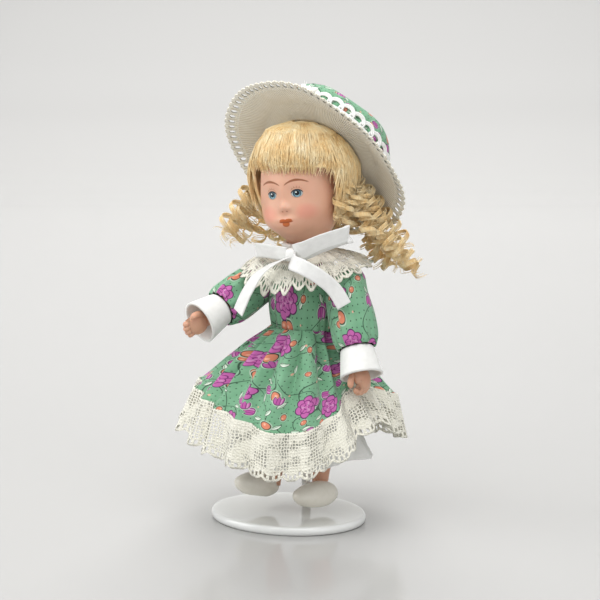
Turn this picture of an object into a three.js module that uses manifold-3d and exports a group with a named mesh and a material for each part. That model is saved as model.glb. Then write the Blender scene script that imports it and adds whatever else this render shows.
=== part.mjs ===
// A porcelain doll on an oval stand. Millimetres, +Z up. The doll faces -Y and its left side is +X.
// The origin is the centre of the stand's underside.
import * as THREE from "three";
import { mergeVertices } from "three/addons/utils/BufferGeometryUtils.js";
import Module from "manifold-3d";

const wasm = await Module();
wasm.setup();

// Driving dimensions.
const gap = 0.4;
const clothThickness = 0.9;
const laceThickness = 0.8;
const bisqueWall = 1.5;

const baseWidth = 61;
const baseDepth = 52;
const baseThickness = 3.2;
const baseRound = 1.1;
const postDiameter = 3.4;
const socketDepth = 2.2;
const saddleRadius = 5;
const saddleThickness = 1.6;

const sleeveRadius = 7.6;
const sleeveLength = 23;
const cuffLength = 10.5;
const cuffRadius = 8.8;

const dollY = 11;
const legLength = 45.6;
const footClearance = 1.2;
const hipHeight = baseThickness + footClearance + legLength;
const crotchHeight = hipHeight - 4;
const hipSpacing = 17;
const hipBall = 5.4;
const waistHeight = hipHeight + 22;
const waistRadius = 10.4;
const shoulderHeight = waistHeight + 15.5;
const shoulderSpacing = 2 * (sleeveRadius + 10.9);
const shoulderBall = 4.4;
const collarEdge = shoulderHeight + sleeveRadius + 1.1;
const neckHeight = collarEdge - 1.2;
const neckRadius = 5.8;
const neckBore = neckRadius - bisqueWall;
const bodyFlat = 0.82;

const thighRadius = 4.7;
const ankleRadius = 3.1;
const shoeLength = 20;
const shoeWidth = 11;
const shoeTurn = 17;
const legLeftForward = 4;
const legRightForward = 14;

const handLength = 11;
const armLength = 42;
const wristRadius = 2.9;
const armLeftForward = 16;
const armLeftSplay = 23;
const armRightForward = 66;
const armRightSplay = 14;
const headY = 8.5;
const chinHeight = neckHeight + 12.5;
const headHalfWidth = 15.2;
const headTop = chinHeight + headHalfWidth * 2.533;
const wigThickness = 2.2;
const hairlineHeight = headTop - 10;
const fringeHeight = headTop - 15;

const hatCentre = new THREE.Vector3(1, headY + 6.5, headTop - 13);
const hatTilt = 55;
const crownRadius = headHalfWidth + 9.3;
const crownHeight = 18;
const crownBase = 5.5;
const brimRadius = crownRadius + 13.5;
const brimInner = headHalfWidth + 2.3;
const trimWidth = 3.2;

const collarTop = collarEdge + 3.4;
const collarInner = neckRadius + 2;
const collarOuter = 25;
const cordBore = 2.4;
const ribbonWidth = 6.7;
const ribbonThickness = 0.9;
const ringletRadius = headHalfWidth * 0.19;
const armholeRadius = 5.2;
const pantaloonRadius = 6.2;
const pantaloonLength = 21;

const petticoatRadius = 28;
const petticoatHips = 16.6;
const petticoatHem = waistHeight - 49;
const laceWidth = 18;

// Radii round the skirt's lower seam and its drops below the waist at each 30 degrees, from the front
// towards the doll's left, then the lace's flare and how steeply the skirt hangs.
const seamRadius = [37, 37, 30.5, 25, 33.5, 37, 35, 34, 35, 36, 37, 37];
const seamDrop = [29, 33.5, 29, 19, 25, 29, 30, 29, 27, 24, 22, 25];
const laceFlare = [4, 4, 7, 11, 4, 4, 4, 5, 6, 7, 7, 5];
const skirtHang = [0.85, 0.9, 1.3, 2, 1.7, 0.9, 0.85, 0.85, 1, 1.2, 1.1, 0.9];

const radians = THREE.MathUtils.degToRad;
const group = new THREE.Group();

const bisque = { color: 0xd8a082, roughness: 0.45, metalness: 0 };
const shoeWhite = { color: 0xe9e3d3, roughness: 0.25, metalness: 0 };
const print = { color: 0x7fb08c, roughness: 0.85, metalness: 0 };
const cotton = { color: 0xf0efe8, roughness: 0.9, metalness: 0 };
const lace = { color: 0xefebd6, roughness: 0.9, metalness: 0 };
const satin = { color: 0xf5f5f0, roughness: 0.4, metalness: 0 };
const hair = { color: 0xdcbd80, roughness: 0.5, metalness: 0 };
const strawRibbon = { color: 0xe9dfc6, roughness: 0.8, metalness: 0 };
const elastic = { color: 0xe6e2d8, roughness: 0.9, metalness: 0 };
const wire = { color: 0xb0b0b0, roughness: 0.3, metalness: 1 };
const plastic = { color: 0xf2f3ee, roughness: 0.12, metalness: 0 };

// Adds one named piece, in the look given, to a group.
function piece(name, geometry, look, parent = group) {
  const mesh = new THREE.Mesh(geometry, new THREE.MeshStandardMaterial(look));
  mesh.name = name;
  parent.add(mesh);
  return mesh;
}

// Joins shared corners and drops triangles that have collapsed to a line.
function closed(geometry) {
  const bare = geometry.clone();
  bare.deleteAttribute("normal");
  bare.deleteAttribute("uv");
  const merged = mergeVertices(bare, 1e-3);
  const old = merged.index.array;
  const kept = [];
  for (let i = 0; i < old.length; i += 3) {
    const [a, b, c] = [old[i], old[i + 1], old[i + 2]];
    if (a !== b && b !== c && c !== a) {
      kept.push(a, b, c);
    }
  }
  merged.setIndex(kept);
  return merged;
}

function toSolid(geometry) {
  const merged = closed(geometry);
  return new wasm.Manifold(
    new wasm.Mesh({
      numProp: 3,
      vertProperties: merged.attributes.position.array,
      triVerts: new Uint32Array(merged.index.array),
    }),
  );
}

function toGeometry(solid) {
  const mesh = solid.getMesh();
  const geometry = new THREE.BufferGeometry();
  const points = new Float32Array(mesh.vertProperties);
  geometry.setAttribute("position", new THREE.BufferAttribute(points, 3));
  geometry.setIndex(new THREE.BufferAttribute(new Uint32Array(mesh.triVerts), 1));
  return geometry;
}

function cut(geometry, ...tools) {
  let solid = toSolid(geometry);
  for (const tool of tools) {
    solid = solid.subtract(toSolid(tool));
  }
  return toGeometry(solid);
}

function common(a, b) {
  return toGeometry(toSolid(a).intersect(toSolid(b)));
}

// A turned shape about Z. The profile is [radius, height] pairs, anticlockwise, on the axis or closed.
// The angle runs from -Y (front) towards +X, and warp moves each point by its angle and profile place.
function turned(profile, segments, warp = () => {}) {
  const points = profile.map(([radius, height]) => new THREE.Vector2(radius, height));
  const geometry = new THREE.LatheGeometry(points, segments);
  geometry.rotateX(Math.PI / 2);
  const position = geometry.attributes.position;
  const point = new THREE.Vector3();
  for (let i = 0; i < position.count; i++) {
    const angle = ((Math.floor(i / points.length) % segments) / segments) * 2 * Math.PI;
    point.fromBufferAttribute(position, i);
    warp(point, angle, i % points.length);
    position.setXYZ(i, point.x, point.y, point.z);
  }
  return closed(geometry);
}

// The value at an angle, from values spaced evenly round a circle, along a smooth closed curve.
function around(values, angle) {
  const at = ((angle / (2 * Math.PI)) * values.length + values.length) % values.length;
  const i = Math.floor(at);
  const t = at - i;
  const value = (k) => values[(i + k + values.length) % values.length];
  const [a, b, c, d] = [value(-1), value(0), value(1), value(2)];
  return b + 0.5 * t * (c - a + t * (2 * a - 5 * b + 4 * c - d + t * (3 * (b - c) + d - a)));
}

function mix(a, b, t) {
  return a + (b - a) * t;
}

function ball(radius, x, y, z, detail = 20) {
  return new THREE.SphereGeometry(radius, detail, detail / 2).translate(x, y, z);
}

function block(x0, x1, y0, y1, z0, z1) {
  const box = new THREE.BoxGeometry(x1 - x0, y1 - y0, z1 - z0);
  return box.translate((x0 + x1) / 2, (y0 + y1) / 2, (z0 + z1) / 2);
}

// A round tube through the points given.
function tube(points, radius, sides, steps) {
  const shape = new THREE.Shape();
  for (let i = 0; i < sides; i++) {
    const angle = (i / sides) * 2 * Math.PI;
    const [x, y] = [radius * Math.cos(angle), radius * Math.sin(angle)];
    if (i) {
      shape.lineTo(x, y);
    } else {
      shape.moveTo(x, y);
    }
  }
  const path = new THREE.CatmullRomCurve3(points.map((p) => new THREE.Vector3(...p)));
  return new THREE.ExtrudeGeometry(shape, { steps, extrudePath: path, bevelEnabled: false });
}

// A flat ribbon of a width and thickness through stations of [centre, across].
function ribbon(stations, width, thickness) {
  const count = stations.length;
  const geometry = new THREE.BoxGeometry(1, 1, 1, 1, 1, count - 1);
  const position = geometry.attributes.position;
  const centres = stations.map(([centre]) => new THREE.Vector3(...centre));
  for (let i = 0; i < position.count; i++) {
    const k = Math.round((position.getZ(i) + 0.5) * (count - 1));
    const along = centres[Math.min(k + 1, count - 1)].clone().sub(centres[Math.max(k - 1, 0)]).normalize();
    const across = new THREE.Vector3(...stations[k][1]);
    across.addScaledVector(along, -across.dot(along)).normalize();
    const face = along.clone().cross(across);
    const point = centres[k].clone();
    point.addScaledVector(across, position.getX(i) * width);
    point.addScaledVector(face, position.getY(i) * thickness);
    position.setXYZ(i, point.x, point.y, point.z);
  }
  return geometry;
}

// The stand: a glossy oval foot, a rod and a forked saddle between the legs.
function stand() {
  const radius = baseWidth / 2;
  const profile = [
    [0, 0],
    [radius - 0.6, 0],
    [radius, 0.6],
    [radius, baseThickness - baseRound],
    [radius - baseRound * 0.3, baseThickness - baseRound * 0.3],
    [radius - baseRound, baseThickness],
    [0, baseThickness],
  ];
  const disc = turned(profile, 48, (p) => {
    p.y *= baseDepth / baseWidth;
  });
  const socketRadius = postDiameter / 2 + 0.3;
  const socket = new THREE.CylinderGeometry(socketRadius, socketRadius, socketDepth * 2, 20);
  socket.rotateX(Math.PI / 2).translate(0, dollY, baseThickness);
  piece("stand_base", cut(disc, socket), plastic);

  const saddleHeight = crotchHeight - saddleThickness - gap;
  const postFoot = baseThickness - socketDepth + 0.3;
  const length = saddleHeight - gap - postFoot;
  const post = new THREE.CylinderGeometry(postDiameter / 2, postDiameter / 2, length, 16);
  post.rotateX(Math.PI / 2).translate(0, dollY, postFoot + length / 2);
  piece("stand_post", post, plastic);

  const half = postDiameter / 2 - 0.1;
  const saddle = new THREE.Shape();
  saddle.moveTo(-saddleRadius, 0);
  saddle.lineTo(saddleRadius, 0);
  saddle.lineTo(saddleRadius, saddleThickness);
  saddle.lineTo(-saddleRadius, saddleThickness);
  const fork = new THREE.ExtrudeGeometry(saddle, { depth: half * 2, bevelEnabled: false });
  fork.rotateX(Math.PI / 2).rotateZ(Math.PI / 2).translate(-half, dollY, saddleHeight);
  piece("stand_saddle", fork, plastic);
}

// Flattens a turned body front to back and sets it on the doll's axis.
function bodyPlace(p) {
  p.y = p.y * bodyFlat + dollY;
}

function shoulder(side) {
  return [(side * shoulderSpacing) / 2, dollY, shoulderHeight];
}

function hip(side) {
  return [(side * hipSpacing) / 2, dollY, hipHeight];
}

// The hollow bisque trunk with sockets for the hips, the arms and the neck, and its stringing.
function trunk() {
  const outside = [
    [0, crotchHeight],
    [7, crotchHeight + 0.3],
    [11.4, hipHeight],
    [12.8, hipHeight + 6],
    [12, hipHeight + 13],
    [waistRadius, waistHeight],
    [11, waistHeight + 7],
    [11.6, shoulderHeight - 2],
    [9.4, shoulderHeight + 3.5],
    [neckRadius + 0.9, neckHeight - 2.5],
    [neckRadius + 0.9, neckHeight],
  ];
  const inside = outside.slice(2).reverse().map(([r, z]) => [r - bisqueWall, z]);
  inside[0][0] = neckBore;
  inside[1][0] = neckBore;
  inside[1][1] = neckHeight - 3.5;
  const floor = [[0, crotchHeight + bisqueWall + 1]];
  const body = turned([...outside, ...inside, ...floor], 20, bodyPlace);
  const sockets = [];
  for (const side of [-1, 1]) {
    sockets.push(ball(hipBall + gap, ...hip(side)));
    const inner = (hipSpacing / 2 - thighRadius - 1) * side;
    const outer = 20 * side;
    sockets.push(block(Math.min(inner, outer), Math.max(inner, outer), -20, 40, crotchHeight - 5, hipHeight));
  }
  const armBore = new THREE.CylinderGeometry(cordBore, cordBore, shoulderSpacing, 16);
  armBore.rotateZ(Math.PI / 2).translate(0, dollY, shoulderHeight);
  piece("torso", cut(body, ...sockets, armBore), bisque);

  const armEnd = shoulderSpacing / 2 - shoulderBall - gap;
  const armCord = tube([[-armEnd, dollY, shoulderHeight], [armEnd, dollY, shoulderHeight]], 0.7, 8, 2);
  piece("arm_elastic", armCord, elastic);

  const behind = dollY + 2.6;
  const legTop = hipHeight + hipBall + 1.4;
  const loopTop = neckHeight - 5;
  const cordPoints = [
    [-hipSpacing / 2 + 1.2, dollY + 1, legTop],
    [-3.4, behind, waistHeight],
    [0, behind, loopTop],
    [3.4, behind, waistHeight],
    [hipSpacing / 2 - 1.2, dollY + 1, legTop],
  ];
  piece("leg_elastic", tube(cordPoints, 0.7, 8, 20), elastic);
}

// Moves a point of the head or the wig to the head's place and gives it the face's shape.
function headShape(p) {
  const front = Math.max(0, -p.y) / headHalfWidth;
  const chin = Math.exp(-(((p.z - chinHeight - 2) / 4.5) ** 2));
  const cheek = Math.exp(-(((p.z - chinHeight - 8) / 6) ** 2));
  const back = Math.max(0, p.y) / headHalfWidth;
  p.y *= 1 + 0.28 * chin * front + 0.06 * back;
  p.x *= 1 + 0.05 * cheek * front;
  const nose = Math.exp(-(((p.z - chinHeight - 11.1) / 2.2) ** 2) - (p.x / 1.9) ** 2);
  if (p.y < 0) {
    p.y -= 1.7 * nose;
  }
  const rise = THREE.MathUtils.smoothstep(p.z, neckHeight + 5, chinHeight + 4);
  p.y += mix(dollY, headY, rise);
}

const headProfile = [
  [neckRadius, neckHeight + gap],
  [neckRadius - 0.4, neckHeight + 5],
  [neckRadius + 0.8, neckHeight + 8.6],
  [10.2, chinHeight - 0.6],
  [12.8, chinHeight + 3],
  [headHalfWidth - 0.9, chinHeight + 7.5],
  [headHalfWidth - 0.1, chinHeight + 13],
  [headHalfWidth, chinHeight + 19],
  [headHalfWidth - 0.5, headTop - 13],
  [headHalfWidth - 2.1, headTop - 7],
  [headHalfWidth - 5, headTop - 2.9],
];

// The bisque head, open at the neck and the crown, with the button and hook that string it.
function head() {
  const inside = headProfile.slice().reverse().map(([r, z]) => [r - bisqueWall, z - 0.4]);
  inside[inside.length - 1][0] = neckBore;
  inside[inside.length - 1][1] = neckHeight + gap;
  inside[inside.length - 2][0] = neckBore;
  piece("head", turned([...headProfile, ...inside, headProfile[0]], 28, headShape), bisque);

  const buttonHeight = neckHeight + 10.6;
  const hookRadius = 0.6;
  const hook = [
    [0, neckHeight - 3.6],
    [hookRadius, neckHeight - 3.6],
    [hookRadius, buttonHeight],
    [neckBore + 0.5, buttonHeight],
    [neckBore + 0.5, buttonHeight + 1.2],
    [0, buttonHeight + 1.2],
  ];
  piece("neck_hook", turned(hook, 12, (p) => { p.y += dollY; }), wire);
}

// The outer radius of the hair, a fixed thickness over the head, as a closed bowl.
function hairBowl(lowest) {
  const over = headProfile.filter(([, z]) => z > lowest);
  const inner = over.slice().reverse().map(([r, z]) => [r + gap, z + 0.2]);
  const outer = over.map(([r, z]) => [r + gap + wigThickness, z + 0.6]);
  const profile = [
    [0, headTop - 1.4],
    ...inner,
    ...outer,
    [6.5, headTop + 1.8],
    [0, headTop + 2.8],
  ];
  return turned(profile, 28, headShape);
}

// Each ringlet: name, then the angle, height over the collar and distance beyond the head's side of its
// top, and the same of its bottom.
const ringlets = [
  ["ringlet_left_1", 82, 24.4, 6.8, 84, 11.4, 6.8],
  ["ringlet_left_2", 98, 21.4, 8.3, 103, 5.4, 15.8],
  ["ringlet_left_3", 114, 23.4, 8.3, 114, -3.6, 23.8],
  ["ringlet_left_4", 136, 13.4, 2.8, 138, 5, 4.8],
  ["ringlet_left_5", 129, 10.4, 9.8, 129, -10.6, 28.8],
  ["ringlet_left_6", 147, 1.4, 11.8, 147, -9.6, 19.3],
  ["ringlet_back_1", 158, 13.4, 0.2, 157, 5, 1.6],
  ["ringlet_back_2", 180, 13.4, 0.2, 180, 5, 1.6],
  ["ringlet_back_3", 202, 13.4, 0.2, 203, 5, 1.6],
  ["ringlet_right_1", 278, 24.4, 6.8, 285, 2.4, 18.8],
  ["ringlet_right_2", 262, 21.4, 8.3, 270, -2.6, 20.3],
  ["ringlet_right_3", 246, 22.4, 8.3, 246, -3.6, 24.8],
  ["ringlet_right_4", 224, 13.4, 2.8, 222, 5, 4.8],
  ["ringlet_right_5", 231, 10.4, 9.3, 231, -4.6, 21.8],
];

// A point at an angle from the front towards the doll's left, beyond the head and over the collar.
function polar(degrees, beyond, height) {
  const angle = radians(degrees);
  const reach = headHalfWidth + beyond;
  return [reach * Math.sin(angle), dollY - reach * Math.cos(angle), collarTop + height];
}

function wig() {
  const bowl = hairBowl(chinHeight + 12);
  const hairline = block(-30, 30, -30, headY - 6, 90, hairlineHeight);
  piece("wig_cap", cut(bowl, hairline), hair);
  const forehead = block(-30, 30, -30, headY - 6 - gap, fringeHeight, hairlineHeight - gap);
  piece("fringe", common(hairBowl(chinHeight + 12), forehead), hair);
  for (const [name, topAngle, topHeight, topReach, angle, height, reach] of ringlets) {
    const points = [
      polar(topAngle, topReach, topHeight),
      polar((topAngle + angle) / 2, mix(topReach, reach, 0.4), mix(topHeight, height, 0.5)),
      polar(angle, reach, height),
    ];
    piece(name, tube(points, ringletRadius, 8, 5), hair);
  }
}

// The hat, in a frame of its own whose Z is the crown's axis.
function hat() {
  const place = new THREE.Group();
  place.position.copy(hatCentre);
  place.rotation.x = radians(-hatTilt);
  group.add(place);

  const outerEdge = [38, 36, 34, 36, 38, 37, 35, 36, 37, 38, 38, 38].map((r) => (r / 38) * brimRadius);
  const hem = crownRadius - 1.2;
  const rows = 3;
  const brimProfile = [];
  brimProfile.push([brimInner, crownBase - clothThickness]);
  for (let i = 0; i <= rows; i++) {
    brimProfile.push([mix(hem, brimRadius, i / rows), mix(crownBase - clothThickness, -1, i / rows)]);
  }
  for (let i = rows + 1; i >= 0; i--) {
    const [r, z] = brimProfile[i];
    brimProfile.push([r, z + clothThickness]);
  }
  brimProfile.push(brimProfile[0]);
  const brim = turned(brimProfile, 42, (p, angle) => {
    const r = Math.hypot(p.x, p.y);
    const t = Math.max(0, r - hem) / (brimRadius - hem);
    const scale = mix(1, around(outerEdge, angle) / brimRadius, t);
    p.x *= scale;
    p.y *= scale;
    p.z += 0.5 * t * Math.sin(angle * 7);
  });
  piece("hat_brim", brim, strawRibbon, place);

  const foot = crownBase + gap;
  const crownOutside = [
    [crownRadius, foot],
    [crownRadius + 0.8, foot + 4],
    [crownRadius - 0.8, foot + 8.4],
    [crownRadius - 6, crownHeight - 1.6],
    [crownRadius - 14, crownHeight],
    [0, crownHeight + 0.4],
  ];
  const crownInside = crownOutside.slice().reverse().map(([r, z]) => [Math.max(0, r - clothThickness), z]);
  crownInside.forEach((q, i) => {
    q[1] -= i < 3 ? clothThickness : 0;
  });
  const crown = turned([...crownInside, ...crownOutside], 28);
  piece("hat_crown", crown, print, place);

  const trimInner = crownRadius + 0.8 + gap;
  const trimProfile = [
    [trimInner, foot],
    [trimInner + trimWidth, foot],
    [trimInner + trimWidth * 0.7, foot + trimWidth],
    [trimInner, foot + trimWidth * 1.1],
    [trimInner, foot],
  ];
  piece("hat_trim", turned(trimProfile, 32), lace, place);

  const tieReach = trimInner + trimWidth + gap + 1.6;
  const tie = ball(1, 0, 0, 0, 12).scale(3.4, 1.6, 1.8).translate(0, -tieReach, foot - 0.4);
  tie.rotateZ(radians(12));
  piece("hat_tie", tie, satin, place);
}

// The dress's bodice: a cloth shell over the trunk, with recesses that the sleeves turn in.
const bodiceProfile = [
  [waistRadius + gap, waistHeight + 0.2],
  [waistRadius + 0.6 + gap, waistHeight + 7],
  [11.6 + gap, shoulderHeight - 2],
  [9.4 + gap, shoulderHeight + 3.7],
  [neckRadius / bodyFlat + 0.06, neckHeight - 2.2],
  [neckRadius / bodyFlat + 0.06, neckHeight + 0.4],
];

// The space that an arm in its sleeve turns through, as a solid turned about the shoulder's axis.
function sweep(side, splay) {
  const reach = shoulderHeight - waistHeight + 6;
  const lean = Math.tan(radians(splay));
  const half = (sleeveRadius + 0.6 + gap) / Math.cos(radians(splay));
  const clear = sleeveRadius + gap;
  const profile = [
    [0, -clear],
    [clear * 0.5, -clear * 0.87],
    [clear * 0.75, Math.min(-clear * 0.66, clear * 0.75 * lean - half)],
    [reach, reach * lean - half],
    [reach, 20],
    [0, 20],
  ];
  const solid = turned(profile, 28);
  solid.rotateY((side * Math.PI) / 2);
  return solid.translate(...shoulder(side));
}

function bodice() {
  const fullness = [2.4, 2.6, 2.2, 1.8, clothThickness, clothThickness];
  const outer = bodiceProfile.map(([r, z], i) => [r + fullness[i] + 0.2, z + 0.1]);
  const profile = [...bodiceProfile.slice().reverse(), ...outer, bodiceProfile[bodiceProfile.length - 1]];
  const shell = turned(profile, 24, bodyPlace);
  const recesses = [sweep(1, armLeftSplay), sweep(-1, armRightSplay)];
  piece("bodice", cut(shell, ...recesses), print);
}

// A sheet that hangs round the doll: rows of [radius, height] by angle, with folds that grow downwards.
function hanging(rows, thickness, segments, at) {
  const profile = [];
  for (let i = 0; i <= rows; i++) {
    profile.push([20 + i, rows - i]);
  }
  const inside = profile.map(([r, z]) => [r - 0.5, z]);
  const loop = [...inside, ...profile.slice().reverse(), inside[0]];
  return turned(loop, segments, (p, angle, k) => {
    const outer = k > rows && k <= 2 * rows + 1;
    const row = outer ? 2 * rows + 1 - k : k % (2 * rows + 2);
    const [radius, height, middle] = at(angle, row / rows);
    const r = radius - (outer ? 0 : thickness);
    p.set(r * Math.sin(angle), middle - r * Math.cos(angle), height);
  });
}

const skirtMiddle = 6;
const skirtTopRadius = waistRadius + 2.8;

function skirtAt(angle, t) {
  const top = waistHeight - gap;
  const seam = around(seamRadius, angle);
  const flare = Math.pow(t, around(skirtHang, angle));
  const fold = (0.25 + 1.2 * t) * Math.sin(14 * angle) * 0.8;
  const height = mix(top, waistHeight - around(seamDrop, angle), t);
  return [mix(skirtTopRadius, seam, flare) + fold, height, mix(dollY, skirtMiddle, t)];
}

function laceAt(angle, t) {
  const [radius, height, middle] = skirtAt(angle, 1);
  const wave = t * 1.2 * Math.sin(14 * angle);
  const start = gap * 0.8;
  const out = around(laceFlare, angle);
  const fall = start + laceWidth * t - (out * t) / 3;
  return [radius + out * t + wave, height - fall, middle];
}

function petticoatAt(angle, t) {
  const top = waistHeight - 5;
  const seam = Math.min(petticoatRadius, around(seamRadius, angle) - 4);
  const hem = petticoatHem;
  const fold = t * Math.sin(10 * angle) * 0.7;
  const flare = Math.pow(t, around(skirtHang, angle) + 0.1);
  const middle = mix(dollY, skirtMiddle, Math.min(1, t * 1.4));
  const inner = waistRadius + 2.1;
  const overHips = mix(inner, petticoatHips, Math.min(1, 4 * t));
  return [Math.max(mix(inner, seam, flare), overHips) + fold, mix(top, hem, t), middle];
}

function skirt() {
  piece("skirt", hanging(5, clothThickness, 56, skirtAt), print);
  piece("skirt_lace", hanging(3, laceThickness, 56, laceAt), lace);
  piece("petticoat", hanging(5, laceThickness, 40, petticoatAt), cotton);
}

function collar() {
  const edge = [11, 3.5, 0.6, 0, 0, 0.4, 0.6, 0.4, 0, 0, 0.6, 3.5];
  const reach = [23.5, 24.5, 25, 25, 25, 25, 25, 25, 25, 25, 25, 24.5].map((r) => (r / 25) * collarOuter);
  const at = (angle, t) => {
    const radius = mix(collarInner, around(reach, angle), t);
    const droop = around(edge, angle) * t ** 2.4;
    const ruffle = 0.35 * t * Math.sin(16 * angle);
    return [radius, mix(collarTop, collarEdge + clothThickness, t) - droop + ruffle, dollY];
  };
  piece("collar_lace", thicken(at, 3, 48, laceThickness), lace);
}

// A flat ring sheet, thickened upwards.
function thicken(at, rows, segments, thickness) {
  const profile = [];
  for (let i = 0; i <= rows; i++) {
    profile.push([10 + i, 0]);
  }
  const above = profile.map(([r]) => [r, 1]).reverse();
  const loop = [...profile, ...above, profile[0]];
  return turned(loop, segments, (p, angle, k) => {
    const upper = k > rows && k <= 2 * rows + 1;
    const row = upper ? 2 * rows + 1 - k : k % (2 * rows + 2);
    const [radius, height, middle] = at(angle, row / rows);
    p.set(radius * Math.sin(angle), middle - radius * Math.cos(angle), height + (upper ? thickness : 0));
  });
}

// The satin band round the neck, and its bow on the collar.
function bow() {
  const bandInner = neckRadius + 1.7;
  const bandFoot = collarTop + laceThickness + gap;
  const bandOuter = bandInner + ribbonThickness;
  const band = [
    [bandInner, bandFoot],
    [bandOuter, bandFoot],
    [bandOuter, bandFoot + 1.8],
    [bandInner, bandFoot + 1.8],
    [bandInner, bandFoot],
  ];
  piece("neck_ribbon", turned(band, 24, (p) => { p.y += dollY; }), satin);

  const knotX = 5;
  const knotY = dollY - neckRadius - 9.8;
  const knot = ball(1, 0, 0, 0, 12).scale(2.4, 1.7, 2.6).translate(knotX, knotY, collarTop + 0.8);
  piece("bow_knot", knot, satin);
  const side = 2.4 + gap + 0.2;
  const loopAcross = [0.2, -0.35, 1];
  const loopLeft = [
    [[knotX + side, knotY, collarTop + 3], loopAcross],
    [[13, knotY - 1.6, collarTop + 4.6], loopAcross],
    [[19, knotY + 1, collarTop + 7.2], loopAcross],
    [[26, knotY + 6, collarTop + 9.4], loopAcross],
  ];
  piece("bow_loop_left", ribbon(loopLeft, ribbonWidth, 2 * ribbonThickness), satin);
  const loopRight = [
    [[knotX - side, knotY, collarTop + 1.2], [0, -0.3, 1]],
    [[-4, knotY - 1.5, collarTop + 1.4], [0, -0.3, 1]],
    [[-10, knotY - 0.5, collarTop + 1.6], [0, -0.3, 1]],
  ];
  piece("bow_loop_right", ribbon(loopRight, ribbonWidth * 0.7, 2 * ribbonThickness), satin);
  const leftAcross = [-0.2, 0.9, 0.25];
  const tails = {
    left: [
      [[8.4, knotY - 6.2, collarTop - 1.7], leftAcross],
      [[11.4, knotY - 5.6, collarTop - 1.2], leftAcross],
      [[15, knotY - 3.4, collarTop - 0.7], leftAcross],
      [[21.5, knotY + 1.4, collarTop - 1], leftAcross],
    ],
    right: [
      [[1.4, knotY - 4.4, collarTop - 2.6], [1, -0.2, 0.1]],
      [[-3, knotY - 9.8, collarTop - 4.4], [1, -0.2, 0.2]],
      [[-6.6, knotY - 11.8, collarTop - 11.6], [1, -0.2, 0.4]],
      [[-9.6, knotY - 12.6, collarTop - 19.6], [1, -0.2, 0.3]],
    ],
  };
  for (const [word, stations] of Object.entries(tails)) {
    piece("bow_tail_" + word, ribbon(stations, ribbonWidth, ribbonThickness), satin);
  }
}

// One leg with its moulded shoe, and its pantaloon, hanging down -Z from its hip.
function leg(side, forward) {
  const word = side > 0 ? "left" : "right";
  const place = new THREE.Group();
  place.position.set(...hip(side));
  place.rotation.x = radians(-forward);
  group.add(place);
  const ankle = -(legLength - 9);
  const shank = turned(
    [
      [0, ankle - 2],
      [ankleRadius, ankle - 2],
      [ankleRadius, ankle + 3],
      [4.4, ankle + 14],
      [4, -16],
      [thighRadius, -7],
      [hipBall, 0],
      [hipBall * 0.87, hipBall * 0.5],
      [hipBall * 0.5, hipBall * 0.87],
      [0, hipBall],
    ],
    20,
  );
  const shoe = turned(
    [
      [0, -1],
      [0.55, -0.86],
      [0.9, -0.5],
      [1, 0],
      [0.86, 0.45],
      [0.5, 0.8],
      [0, 1],
    ],
    24,
    (p) => {
      p.x *= shoeWidth / 2;
      p.y *= shoeLength / 2;
      p.z *= 5.2;
    },
  );
  shoe.rotateZ(radians(-shoeTurn)).translate(side * 2.6, -6, 5.2 - legLength);
  const joined = toGeometry(toSolid(shank).add(toSolid(shoe)));
  piece("leg_" + word, joined, bisque, place);

  const foot = -pantaloonLength;
  const wall = clothThickness;
  const outside = [
    [pantaloonRadius + 0.2, foot],
    [pantaloonRadius, foot + 8],
    [pantaloonRadius, -5.4],
  ];
  const inside = outside.slice().reverse().map(([radius, z]) => [radius - wall, z]);
  piece("pantaloon_" + word, turned([...outside, ...inside, outside[0]], 20), cotton, place);
}

// One arm with its sleeve and cuff, hanging down -Z from its shoulder.
function arm(side, forward, splay) {
  const word = side > 0 ? "left" : "right";
  const place = new THREE.Group();
  place.position.set(...shoulder(side));
  place.rotation.set(radians(-forward), 0, 0);
  group.add(place);
  const lean = new THREE.Group();
  lean.rotation.y = radians(-side * splay);
  place.add(lean);
  const handTop = handLength - armLength;
  const limb = turned(
    [
      [0, -armLength],
      [2.6, -armLength + 0.8],
      [4.6, -armLength + 3.6],
      [5, -armLength + 7],
      [3.6, handTop],
      [wristRadius, handTop + 3],
      [3.2, handTop + 10],
      [3.7, -9],
      [4.2, -3],
      [shoulderBall, 0],
      [3.6, 2.6],
      [2, 4],
      [0, shoulderBall],
    ],
    16,
    (p) => {
      if (p.z < handTop + 1) {
        p.x *= 0.85;
      }
    },
  );
  piece("arm_" + word, limb, bisque, lean);

  const wall = clothThickness;
  const cap = [];
  for (let i = 1; i <= 4; i++) {
    const angle = (i / 4) * (Math.PI / 2) * 0.9;
    cap.push([sleeveRadius * Math.cos(angle), sleeveRadius * Math.sin(angle)]);
  }
  const outside = [
    [6.4, -sleeveLength],
    [sleeveRadius + 0.6, -sleeveLength + 4],
    [sleeveRadius + 0.6, -sleeveLength + 9],
    [sleeveRadius, -6],
    [sleeveRadius, 0],
    ...cap,
  ];
  const inside = outside.slice().reverse().map(([r, z]) => {
    const size = Math.hypot(r, Math.max(0, z));
    const k = (size - wall) / size;
    return [r * k, z > 0 ? z * k : z];
  });
  const sleeve = turned([...outside, ...inside, outside[0]], 18);
  const armhole = new THREE.CylinderGeometry(armholeRadius, armholeRadius, 2 * sleeveRadius, 16);
  armhole.rotateZ(Math.PI / 2).translate(-side * sleeveRadius * 1.4, 0, 0).rotateY(radians(side * splay));
  piece("sleeve_" + word, cut(sleeve, armhole), print, lean);

  const cuffTop = -sleeveLength - gap;
  const cuffProfile = [
    [cuffRadius - wall, cuffTop - cuffLength],
    [cuffRadius, cuffTop - cuffLength],
    [5.9, cuffTop],
    [5.9 - wall, cuffTop],
    [cuffRadius - wall, cuffTop - cuffLength],
  ];
  piece("cuff_" + word, turned(cuffProfile, 18), cotton, lean);
}

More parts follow.
